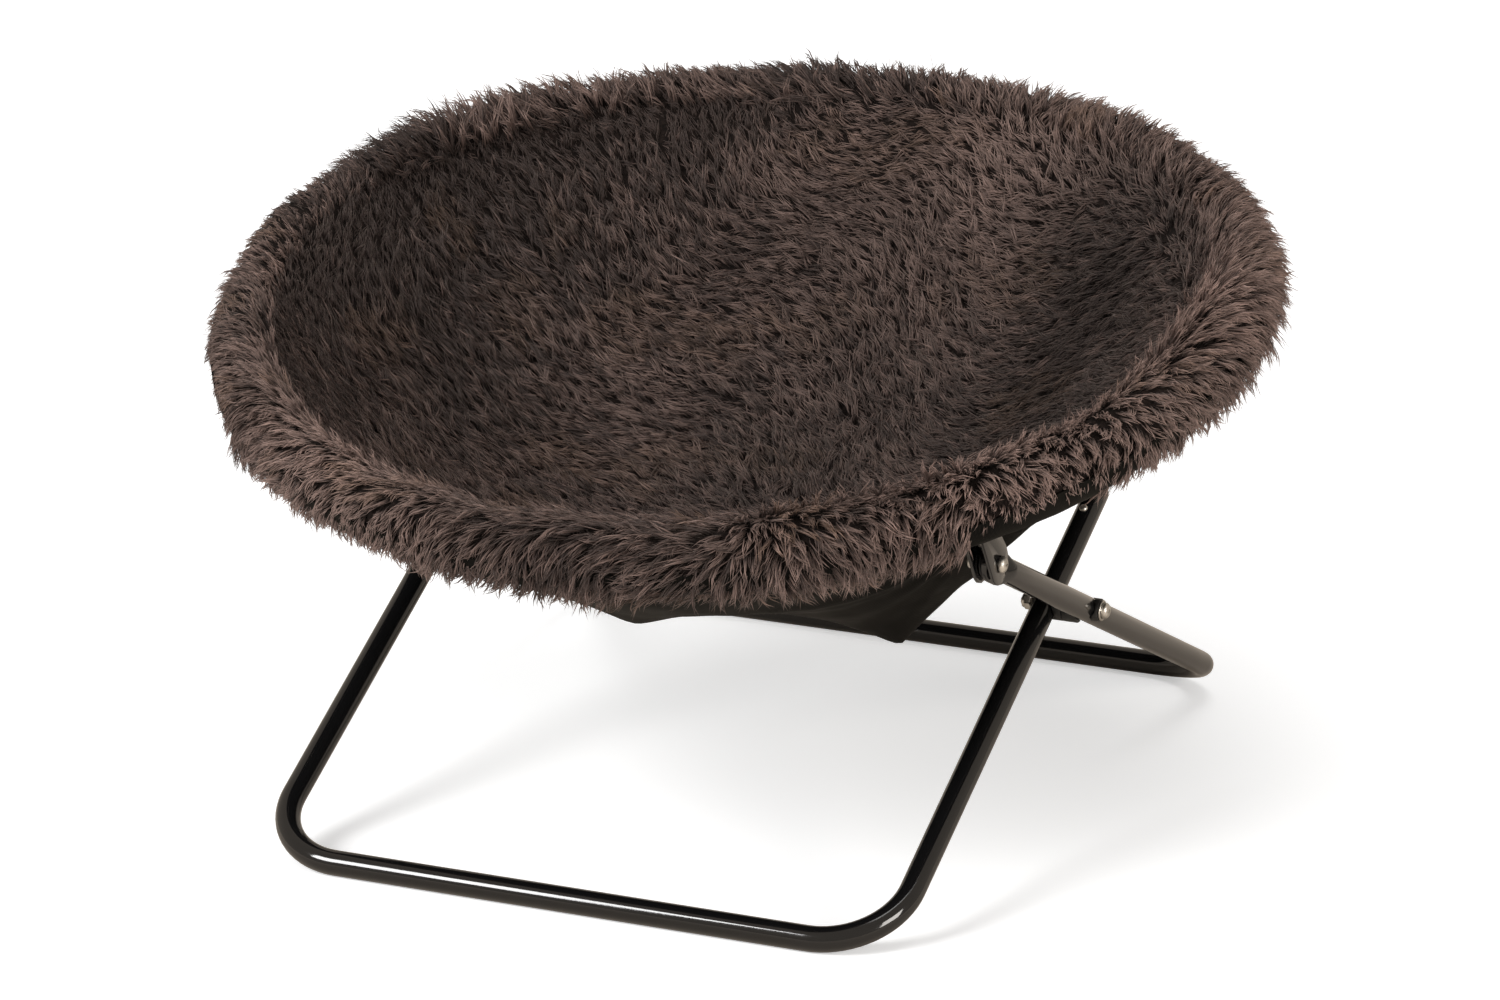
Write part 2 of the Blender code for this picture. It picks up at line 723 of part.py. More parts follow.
def roll_radius(angle):
    """The rolled rim's radius, which swells and eases a little along the hoop."""
    return ROLL_RADIUS * (1 + ROLL_LUMP_SHARE * math.cos(2 * ROLL_LUMPS * angle))


def hanger_room(half, side, carrier):
    """A cutter that clears a hanger where it passes through the rolled rim."""
    pivot, up, length = hanger_places(half, side)
    outline = [
        (-ROLL_NOTCH_HALF, length - HANGER_NOTCH_DEPTH),
        (ROLL_NOTCH_HALF, length - HANGER_NOTCH_DEPTH),
        (ROLL_NOTCH_HALF, length),
        (-ROLL_NOTCH_HALF, length),
    ]
    mesh = prism(turned_outline(outline, up), HANGER_HALF_WIDTH + 3 * CLEARANCE)
    name = f"{carrier}_hanger_room_{side_name(side)}"
    return finish(name, mesh, zinc(), carrier, pivot, cutter=True)


def hinge_room(half, side, carrier):
    """A cutter that clears the hinge, and the fold below its pin, at a butt end of the rolled rim."""
    mesh = bmesh.new()
    low, high = HOOP_Z - 2 * ROLL_RADIUS, HOOP_Z
    rings = []
    for y in (-RELIEF_LENGTH, RELIEF_LENGTH):
        inner, outer = side * HOOP_RADIUS - RELIEF_HALF, side * HOOP_RADIUS + RELIEF_HALF
        rings.append([Vector((x, y, z)) for x, z in ((inner, low), (outer, low), (outer, high), (inner, high))])
    skin(mesh, rings)
    return finish(f"{carrier}_hinge_room_{side_name(side)}", mesh, zinc(), carrier, cutter=True)


def fold_notch(side, carrier):
    """A wedge under the hinge pin, where the two ends of the rolled rim swing past each other."""
    drop = 2 * ROLL_RADIUS - HINGE_DROP
    half_width = drop * math.tan(FOLD_ANGLE / 2)
    outline = [(0, 0), (-half_width, -drop), (half_width, -drop)]
    pin = Vector((side * HOOP_RADIUS, 0, HINGE_Z))
    mesh = prism(outline, 2 * ROLL_RADIUS)
    return finish(f"{carrier}_fold_notch_{side_name(side)}", mesh, zinc(), carrier, pin, cutter=True)


def rolled_rim(name, carrier, half):
    """Half of the padded roll that wraps the hoop."""
    mesh = bmesh.new()
    rings = hoop_rings(half, roll_radius) + hoop_rings(half, TUBE_CORNER + CLEARANCE)[::-1]
    skin(mesh, rings, wrapped=True)
    made = finish(name, mesh, plush(), carrier)
    for side in (RIGHT, LEFT):
        cut(made, hanger_room(half, side, carrier))
        cut(made, hinge_room(half, side, carrier))
        cut(made, fold_notch(side, carrier))
    return made


def lobe(x, y):
    """How far the sling's soft lobes hang below the plain bowl at a place on the hoop's plane."""
    drop = 0
    for across_share, rear_share, width_share, drop_share in LOBE_SHARES:
        away = math.hypot(x / HOOP_RADIUS - across_share, y / HOOP_RADIUS - rear_share)
        drop += drop_share * PLUSH_TOP_DEPTH * math.exp(-((away / width_share) ** 2))
    return drop


def bowl_point(half, x, y, seat_angle, depth, lobed):
    """A point of a bowl-shaped face, at a place on the hoop's plane."""
    radius = HOOP_RADIUS - SEAT_RADIUS * math.cos(seat_angle)
    rise = min(1, math.hypot(x, y) / radius) ** BOWL_POWER
    mean = (math.sin(FRONT_TILT) + math.sin(REAR_TILT)) / 2
    slope = mean + (math.sin(tilt_of(half)) - mean) * rise
    sunk = depth * (1 - rise)
    if lobed:
        sunk += lobe(x, y) * (1 - rise)
    _, _, up = hoop_frame(half, math.atan2(abs(y), x))
    seat = up * SEAT_RADIUS * math.sin(seat_angle) * rise
    return Vector((x, y * math.cos(tilt_of(half)), HOOP_Z + y * slope - sunk)) - seat


def bowl_layer(name, carrier, half, dress, seats, top_depth, thickness, lobed=False):
    """Half of one layer of the dish: a closed shell between two bowl-shaped faces."""
    mesh = bmesh.new()
    rings = []
    for strip in range(STRIPS + 1):
        angle = STRIP_END + (math.pi - 2 * STRIP_END) * strip / STRIPS
        points = []
        for seat_angle, depth in ((seats[0], top_depth), (seats[1], top_depth + thickness)):
            radius = HOOP_RADIUS - SEAT_RADIUS * math.cos(seat_angle)
            x = radius * math.cos(angle)
            face = []
            for step in range(STRIP_POINTS + 1):
                y = PARTING_GAP / 2 + (radius * math.sin(angle) - PARTING_GAP / 2) * step / STRIP_POINTS
                low = lobed and depth > top_depth
                face.append(bowl_point(half, x, half * y, seat_angle, depth, low))
            points.append(face)
        rings.append(points[0] + points[1][::-1])
    skin(mesh, rings)
    # Neighbouring layers are split along the same diagonals, so that they stay clear of each other
    bmesh.ops.triangulate(mesh, faces=mesh.faces, quad_method="SHORT_EDGE")
    return finish(name, mesh, dress, carrier)


def dish(carrier, half):
    """The plush, the wadding and the sling of one half of the dish."""
    word = "front" if half == FRONT else "rear"
    depth = PLUSH_TOP_DEPTH
    bowl_layer(f"plush_dish_{word}", carrier, half, plush(), PLUSH_SEATS, depth, PLUSH_THICKNESS)
    depth += PLUSH_THICKNESS + LAYER_GAP
    bowl_layer(f"wadding_{word}", carrier, half, wadding(), WADDING_SEATS, depth, WADDING_THICKNESS)
    depth += WADDING_THICKNESS + LAYER_GAP
    bowl_layer(f"sling_{word}", carrier, half, woven(), SLING_SEATS, depth, SLING_THICKNESS, lobed=True)


def main():
    """Builds the nest, body by body."""
    clear_scene()
    body("front_legs", Vector((0, 0, PIVOT_Z)))
    body("rear_legs", Vector((0, 0, PIVOT_Z)))
    body("rear_hoop", Vector((0, LINK_Y, LINK_Z)))
    body("front_hoop", Vector((0, 0, HINGE_Z)))
    front_frame = leg_frame("front_foot_frame", "front_legs", REAR, INNER_HALF_WIDTH, INNER_FLAT_LENGTH)
    leg_frame("rear_foot_frame", "rear_legs", FRONT, OUTER_HALF_WIDTH, OUTER_FLAT_LENGTH)
    dome_rivets(front_frame)
    for side in (RIGHT, LEFT):
        pivot_stack(side)
    for carrier, half in (("front_hoop", FRONT), ("rear_hoop", REAR)):
        hoop = hoop_half(f"hoop_{carrier.split('_')[0]}_half", carrier, half)
        hoop_shape = hoop_cutter(f"{carrier}_shape", carrier, half)
        for side in (RIGHT, LEFT):
            hanger(half, side, hoop, hoop_shape)
            hinge_half(half, side, hoop, hoop_shape)
        rolled_rim(f"rim_roll_{carrier.split('_')[0]}", carrier, half)
        dish(carrier, half)
    for side in (RIGHT, LEFT):
        hinge_pin(side)
    for empty in BODIES.values():
        empty.location.y -= MIDDLE_Y


if __name__ == "__main__":
    main()
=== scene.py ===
"""Looks of a folding pet nest: a furry dish and rolled rim, hung on two crossing tube frames.

Metres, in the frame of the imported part: +Z up, the nest is entered from -Y and +X is on its right.
"""

import logging
import math
from collections.abc import Callable, Sequence
from dataclasses import dataclass
from enum import Enum
from typing import Any

import bmesh
import bpy
import numpy as np
from mathutils import Matrix, Vector

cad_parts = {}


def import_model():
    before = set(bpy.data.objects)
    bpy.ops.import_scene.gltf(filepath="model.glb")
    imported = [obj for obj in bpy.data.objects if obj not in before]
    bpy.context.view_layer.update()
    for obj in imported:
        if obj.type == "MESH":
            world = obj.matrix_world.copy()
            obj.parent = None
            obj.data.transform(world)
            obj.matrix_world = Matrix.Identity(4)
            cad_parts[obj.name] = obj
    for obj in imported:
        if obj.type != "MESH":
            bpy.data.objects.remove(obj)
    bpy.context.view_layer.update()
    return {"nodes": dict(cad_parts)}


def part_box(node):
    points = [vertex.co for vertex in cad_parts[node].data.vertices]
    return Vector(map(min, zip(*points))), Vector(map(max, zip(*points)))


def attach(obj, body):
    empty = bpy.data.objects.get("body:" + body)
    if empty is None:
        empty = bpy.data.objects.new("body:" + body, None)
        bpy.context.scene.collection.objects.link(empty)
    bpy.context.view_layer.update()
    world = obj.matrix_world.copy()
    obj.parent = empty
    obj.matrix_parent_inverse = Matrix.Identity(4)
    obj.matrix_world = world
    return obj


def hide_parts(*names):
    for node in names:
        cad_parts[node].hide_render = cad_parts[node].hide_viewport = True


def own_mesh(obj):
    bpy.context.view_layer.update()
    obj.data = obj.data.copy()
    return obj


LOG = logging.getLogger("pet_nest")
Colour = tuple[float, float, float]
Stations = Sequence[tuple[float, float]]
Spots = Sequence[tuple[float, ...]]
Form = Callable[[float, float, float], float]


class Named(Enum):
    """A choice whose name is part of the pieces' names."""

    @property
    def word(self) -> str:
        """The choice's name in lower case."""
        return self.name.lower()


class Half(Named):
    """The half of the hoop that a piece hangs on."""

    FRONT = -1
    REAR = 1

    @property
    def body(self) -> str:
        """The moving body that carries this half of the hoop."""
        return f"{self.word}_hoop"


class Side(Named):
    """The side of the nest that a piece sits on."""

    RIGHT = 1
    LEFT = -1


@dataclass(frozen=True)
class HoopPlan:
    """The hoop's line and the bowl that hangs in it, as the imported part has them."""

    radius: float = 0.2575
    height: float = 0.262043
    middle_y: float = 0.0027
    front_tilt: float = math.radians(14.5)
    rear_tilt: float = math.radians(8)
    bowl_power: float = 2.8
    plush_depth: float = 0.11705
    layer_step: float = 0.0085
    wadding_step: float = 0.0125
    layer_share: float = 0.93

    def tilt(self, half: Half) -> float:
        """How steeply one half lies."""
        return self.front_tilt if half is Half.FRONT else self.rear_tilt

    def section(self, half: Half, angle: np.ndarray) -> tuple[np.ndarray, np.ndarray, np.ndarray]:
        """Finds the hoop's sections.

        Args:
            half: The half of the hoop.
            angle: Angles from +X round that half, any shape.

        Returns:
            The centres, the outward and the upward directions, one row each.
        """
        tilt = self.tilt(half)
        across, along = np.cos(angle), np.sin(angle)
        outward = np.stack(
            [across, half.value * along * math.cos(tilt), half.value * along * math.sin(tilt)], -1
        )
        centre = outward * self.radius + np.array([0, -self.middle_y, self.height])
        normal = np.array([0, -math.sin(tilt), math.cos(tilt)])
        up = (1 - along)[..., None] * np.array([0, 0, 1.0]) + along[..., None] * normal
        return centre, outward, up / np.linalg.norm(up, axis=-1, keepdims=True)

    def roll(self, half: Half, angle: np.ndarray, turn: np.ndarray) -> tuple[np.ndarray, np.ndarray]:
        """The centres of sections at angles along the hoop, and directions from them at turns round it."""
        centre, outward, up = self.section(half, angle)
        return centre, outward * np.cos(turn)[..., None] + up * np.sin(turn)[..., None]

    def bowl(
        self, half: Half, x: np.ndarray, y: np.ndarray, seat: float, depth: float, seat_radius: float
    ) -> np.ndarray:
        """Finds places on a bowl-shaped face of the dish.

        Args:
            half: The half of the dish.
            x: Places across on the unit disc.
            y: Places away from the parting line on the unit disc, zero or more.
            seat: Angle on the rolled rim where the face ends, below its inner side.
            depth: How deep the face lies at the middle.
            seat_radius: How far from the hoop's centre line the face ends.

        Returns:
            The points, one row each.
        """
        radius = self.radius - seat_radius * math.cos(seat)
        rise = np.minimum(1, np.hypot(x, y)) ** self.bowl_power
        mean = (math.sin(self.front_tilt) + math.sin(self.rear_tilt)) / 2
        tilt = self.tilt(half)
        slope = mean + (math.sin(tilt) - mean) * rise
        place_y = half.value * y * radius
        _, _, up = self.section(half, np.arctan2(y, x))
        seat_step = up * (seat_radius * math.sin(seat) * rise)[..., None]
        height = self.height + place_y * slope - depth * (1 - rise)
        return np.stack([x * radius, place_y * math.cos(tilt) - self.middle_y, height], -1) - seat_step


PLAN = HoopPlan()

# Places where cloth is drawn up or slack, in shares of the hoop's radius, with their drops in metres
RAISED = ((0.192, -0.461, 0.240, -0.0130, 2.0), (-0.212, -0.652, 0.224, -0.0114, 2.0))
LOBES = ((0.001, -0.550, 0.074, 0.0085, 1.6), (0.440, -0.235, 0.145, 0.0375, 1.15))


def sag(half: Half, x: np.ndarray, y: np.ndarray, spots: Spots) -> np.ndarray:
    """Finds how far slack cloth hangs below its plain bowl.

    Args:
        half: The half of the dish.
        x: Places across on the unit disc.
        y: Places away from the parting line on the unit disc.
        spots: Rows of place across, place to the rear, width, drop and sharpness.

    Returns:
        The drops in metres, below zero where the cloth is drawn up.
    """
    drop = np.zeros(x.shape)
    for across, back, width, depth, power in spots:
        away = np.hypot(x * PLAN.layer_share - across, half.value * y * PLAN.layer_share - back) / width
        drop += depth * np.exp(-(away**power))
    return drop * (1 - np.minimum(1, np.hypot(x, y)) ** PLAN.bowl_power)


# Finishes


class Nodes:
    """The nodes of a material or of the world, with short ways to add and join them."""

    def __init__(self, owner: bpy.types.Material | bpy.types.World, shader: str = "Principled BSDF") -> None:
        """Starts from the owner's own shader.

        Args:
            owner: The material or the world.
            shader: The name of its shader node.
        """
        owner.use_nodes = True
        self.owner = owner
        self.tree = owner.node_tree
        self.shader = self.tree.nodes[shader]

    @classmethod
    def named(cls, name: str) -> "Nodes":
        """The nodes of a new material."""
        return cls(bpy.data.materials.new(name))

    def feed(self, socket: bpy.types.NodeSocket, value: Any) -> None:
        """Links a socket to another, or sets its value.

        Args:
            socket: The input.
            value: An output socket, a number or a colour.
        """
        if isinstance(value, bpy.types.NodeSocket):
            self.tree.links.new(value, socket)
        elif isinstance(value, tuple) and len(value) == 3 and socket.type == "RGBA":
            socket.default_value = (*value, 1)
        else:
            socket.default_value = value

    def add(self, kind: str, inputs: dict[Any, Any] | None = None, **settings: Any) -> bpy.types.Node:
        """Adds a node.

        Args:
            kind: The node's type without its ShaderNode prefix.
            inputs: Values or sockets for its inputs.
            **settings: The node's own settings.

        Returns:
            The node.
        """
        node = self.tree.nodes.new(f"ShaderNode{kind}")
        for name, value in settings.items():
            setattr(node, name, value)
        for key, value in (inputs or {}).items():
            self.feed(node.inputs[key], value)
        return node

    def shade(self, **values: Any) -> None:
        """Sets the shader's inputs by their names, with underscores for spaces."""
        for name, value in values.items():
            self.feed(self.shader.inputs[name.replace("_", " ")], value)

    def reckon(self, operation: str, *values: Any) -> bpy.types.NodeSocket:
        """The result of a Math node on values or sockets."""
        return self.add("Math", dict(enumerate(values)), operation=operation).outputs[0]

    def blend(self, share: Any, first: Any, second: Any, mode: str = "MIX") -> bpy.types.NodeSocket:
        """Mixes two colours.

        Args:
            share: The second colour's share.
            first: The first colour.
            second: The second colour.
            mode: How they mix.

        Returns:
            The mixed colour.
        """
        node = self.add("Mix", data_type="RGBA", blend_type=mode)
        for index, value in ((0, share), (6, first), (7, second)):
            self.feed(node.inputs[index], value)
        return node.outputs[2]

    def ramp(self, value: Any, low: float, high: float, least: float = 0.0, most: float = 1.0) -> Any:
        """A value between two limits, spread over 0 to 1 or between two other limits, and held there."""
        inputs = {"Value": value, "From Min": low, "From Max": high, "To Min": least, "To Max": most}
        return self.add("MapRange", inputs, clamp=True).outputs["Result"]

    def noise(self, place: Any, scale: float, detail: float = 2.0, **inputs: Any) -> Any:
        """A noise pattern of a scale and a detail on some coordinates."""
        every = {"Vector": place, "Scale": scale, "Detail": detail, **inputs}
        return self.add("TexNoise", every).outputs["Fac"]

    def cloud(self, place: Any, scale: float, detail: float, low: float, high: float) -> Any:
        """A noise pattern, spread from between two limits over 0 to 1."""
        return self.ramp(self.noise(place, scale, detail), low, high)

    def place(self) -> bpy.types.NodeSocket:
        """The piece's own coordinates, in metres."""
        return self.add("TexCoord").outputs["Object"]

    def attribute(self, name: str) -> bpy.types.NodeSocket:
        """A named attribute of the mesh as three values."""
        return self.add("Attribute", attribute_name=name).outputs["Vector"]

    def bump(self, height: Any, strength: float, distance: float) -> None:
        """Gives the shader a bump whose full height is a distance in metres."""
        node = self.add("Bump", {"Height": height, "Strength": strength, "Distance": distance})
        self.feed(self.shader.inputs["Normal"], node.outputs["Normal"])


@dataclass(frozen=True)
class PlushPile:
    """Long brown pile: dark at the root, taupe at the tip, in lighter and darker locks."""

    root: Colour = (0.0080, 0.0055, 0.0046)
    body: Colour = (0.070, 0.0435, 0.0360)
    tip: Colour = (0.330, 0.222, 0.185)
    # The rust colour, which also paints the glow of backlit fringe tips on the rim's lower side
    rust: Colour = (0.270, 0.155, 0.088)
    sheen: float = 0.14
    sheen_tint: Colour = (0.62, 0.50, 0.44)
    roughness: float = 0.62
    patch_scale: float = 9.0
    patch_least: float = 0.7

    def material(self) -> bpy.types.Material:
        """Makes the pile's material from its lock attribute: root to tip, tone with painted light and shade,
        and rust tint with painted glow.

        Returns:
            The material.
        """
        nodes = Nodes.named("plush_pile")
        lock = nodes.add("SeparateXYZ", {"Vector": nodes.attribute("lock")}).outputs
        along, tone, rust = lock["X"], lock["Y"], lock["Z"]
        patch = nodes.cloud(nodes.place(), self.patch_scale, 3.0, 0.35, 0.68)
        light = nodes.reckon("MULTIPLY_ADD", patch, 1 - self.patch_least, self.patch_least)
        deep = nodes.reckon("MULTIPLY", nodes.ramp(along, 0.05, 0.5), nodes.ramp(tone, -0.25, 0.35))
        lower = nodes.blend(deep, self.root, self.body)
        share = nodes.reckon("MULTIPLY", nodes.ramp(along, 0.3, 1.0), tone)
        upper = nodes.blend(share, lower, self.tip)
        warm = nodes.blend(nodes.reckon("MULTIPLY", rust, nodes.ramp(along, 0.2, 0.9)), upper, self.rust)
        grey = nodes.add("CombineColor", {0: light, 1: light, 2: light}).outputs[0]
        nodes.shade(Base_Color=nodes.blend(1.0, warm, grey, "MULTIPLY"), Roughness=self.roughness)
        nodes.shade(Specular_IOR_Level=0.3)
        nodes.shade(Sheen_Weight=self.sheen, Sheen_Roughness=0.4, Sheen_Tint=self.sheen_tint)
        return nodes.owner


@dataclass(frozen=True)
class PlushBacking:
    """The plush's knitted backing and the short pile at its foot, near black as painted shade deep among the
    locks.
    """

    # Near-black colours that paint the shade deep between the locks of pile
    dark: Colour = (0.0045, 0.0032, 0.0027)
    light: Colour = (0.030, 0.0195, 0.0160)
    strand_scale: float = 420.0
    patch_scale: float = 14.0

    def material(self) -> bpy.types.Material:
        """Makes the backing's material.

        Returns:
            The material.
        """
        nodes = Nodes.named("plush_backing")
        place = nodes.place()
        strands = nodes.noise(place, self.strand_scale, 4.0, Distortion=1.2)
        share = nodes.reckon(
            "MULTIPLY", nodes.ramp(strands, 0.35, 0.75), nodes.noise(place, self.patch_scale, 3.0)
        )
        nodes.shade(Base_Color=nodes.blend(share, self.dark, self.light), Roughness=0.95)
        nodes.shade(Specular_IOR_Level=0.1)
        nodes.bump(strands, 1.0, 0.0016)
        return nodes.owner


@dataclass(frozen=True)
class SlingWeave:
    """Black woven polyester with a fine coating: a close plain weave and a soft brown gloss."""

    thread: Colour = (0.0020, 0.0019, 0.0016)
    worn: Colour = (0.0062, 0.0054, 0.0042)
    pitch: float = 0.0007
    roughness: float = 0.46
    rough_span: float = 0.16
    on_map: bool = True

    def material(self) -> bpy.types.Material:
        """Makes the weave's material on the cloth's own flat coordinates, or on its place.

        Returns:
            The material.
        """
        nodes = Nodes.named("black_weave_cloth" if self.on_map else "black_weave_band")
        place = nodes.place()
        flat = nodes.add("UVMap", uv_map="cloth").outputs["UV"] if self.on_map else place
        wave = {"Vector": flat, "Scale": math.pi / self.pitch / 20}
        threads = [nodes.add("TexWave", wave, bands_direction=way).outputs["Fac"] for way in "XY"]
        weave = nodes.reckon("MULTIPLY", *threads)
        colour = nodes.blend(nodes.cloud(place, 22.0, 4.0, 0.4, 0.75), self.thread, self.worn)
        nodes.shade(Base_Color=nodes.blend(nodes.ramp(weave, 0.0, 1.0), colour, self.worn))
        cloud = nodes.noise(place, 60.0, 3.0)
        nodes.shade(Roughness=nodes.ramp(cloud, 0.2, 0.9, self.roughness, self.roughness + self.rough_span))
        nodes.shade(Specular_IOR_Level=0.05)
        nodes.bump(weave, 0.25, 0.00015)
        return nodes.owner


@dataclass(frozen=True)
class GlossPaint:
    """Gloss black powder coat on tube: a faint orange peel and dust."""

    colour: Colour = (0.0045, 0.0044, 0.0046)
    dust: Colour = (0.030, 0.027, 0.024)
    roughness: float = 0.085
    rough_span: float = 0.10
    peel: float = 0.00004

    def material(self) -> bpy.types.Material:
        """Makes the paint's material.

        Returns:
            The material.
        """
        nodes = Nodes.named("black_powder_coat")
        place = nodes.place()
        cloud = nodes.cloud(place, 18.0, 4.0, 0.45, 0.8)
        share = nodes.reckon("MULTIPLY", nodes.cloud(place, 900.0, 2.0, 0.70, 0.82), cloud)
        nodes.shade(Base_Color=nodes.blend(share, self.colour, self.dust), Specular_IOR_Level=0.5)
        nodes.shade(Roughness=nodes.ramp(cloud, 0.0, 1.0, self.roughness, self.roughness + self.rough_span))
        nodes.shade(Coat_Weight=0.25, Coat_Roughness=0.05)
        nodes.bump(nodes.noise(place, 420.0, 1.0), 0.35, self.peel)
        return nodes.owner


@dataclass(frozen=True)
class ZincPlate:
    """Bright zinc plating: fine turning marks, dull patches and a warm cast."""

    bright: Colour = (0.70, 0.68, 0.64)
    dull: Colour = (0.36, 0.34, 0.31)
    roughness: tuple[float, float] = (0.30, 0.50)

    def material(self) -> bpy.types.Material:
        """Makes the plating's material.

        Returns:
            The material.
        """
        nodes = Nodes.named("zinc_plate")
        place = nodes.place()
        cloud = nodes.cloud(place, 260.0, 4.0, 0.35, 0.72)
        nodes.shade(Base_Color=nodes.blend(cloud, self.bright, self.dull), Metallic=1.0)
        nodes.shade(Roughness=nodes.ramp(cloud, 0.0, 1.0, *self.roughness))
        nodes.bump(nodes.noise(place, 2400.0, 2.0), 0.2, 0.00003)
        return nodes.owner


@dataclass(frozen=True)
class BlackPlastic:
    """Moulded black plastic or nylon with a faint grain, rubbed grey in places."""

    name: str = "moulded_black_plastic"
    colour: Colour = (0.012, 0.0115, 0.011)
    rubbed: Colour = (0.045, 0.043, 0.04)
    roughness: float = 0.42
    rubs: tuple[float, float, float, float] = (300.0, 5.0, 0.58, 0.8)
    grain: tuple[float, float, float] = (1800.0, 0.3, 0.00005)

    def material(self) -> bpy.types.Material:
        """Makes the plastic's material.

        Returns:
            The material.
        """
        nodes = Nodes.named(self.name)
        place = nodes.place()
        scale, strength, depth = self.grain
        rubbed = nodes.cloud(place, *self.rubs)
        nodes.shade(Base_Color=nodes.blend(rubbed, self.colour, self.rubbed), Roughness=self.roughness)
        nodes.bump(nodes.noise(place, scale, 2.0), strength, depth)
        return nodes.owner


NYLON = BlackPlastic(
    "black_nylon",
    (0.014, 0.0135, 0.013),
    (0.055, 0.052, 0.048),
    0.34,
    (240.0, 4.0, 0.5, 0.8),
    (1500.0, 0.2, 0.00004),
)


class Finishes:
    """Every finish of the nest, made once and shared."""

    def __init__(self) -> None:
        """Makes the materials."""
        self.pile = PlushPile().material()
        self.backing = PlushBacking().material()
        self.weave = SlingWeave().material()
        self.hem = SlingWeave(on_map=False).material()
        self.paint = GlossPaint().material()
        self.zinc = ZincPlate().material()
        self.plastic = BlackPlastic().material()
        self.nylon = NYLON.material()

    def by_slot(self) -> dict[str, bpy.types.Material]:
        """Finds the material that stands for each of the record's slots.

        Returns:
            The materials by slot.
        """
        return {
            "black_paint": self.paint,
            "zinc": self.zinc,
            "black_plastic": self.plastic,
            "nylon": self.nylon,
            "plush": self.backing,
            "wadding": self.backing,
            "black_weave": self.hem,
        }


# Shapes


@dataclass(frozen=True)
class Label:
    """What a piece is called, what carries it, its record's slot and the CAD nodes that it stands for."""

    name: str
    body: str
    slot: str
    nodes: Sequence[str] = ()


@dataclass(frozen=True)
class Section:
    """One section of a swept tube: its centre, its half widths with their directions, its squareness."""

    centre: Vector
    across: Vector
    up: Vector
    half_across: float
    half_up: float
    square: float = 1.0

    def point(self, angle: float) -> Vector:
        """The section's point at an angle from its across direction."""
        wide = math.copysign(abs(math.cos(angle)) ** self.square, math.cos(angle))
        return self.centre + self.across * self.half_across * wide + self.up * self.half_up * math.sin(angle)


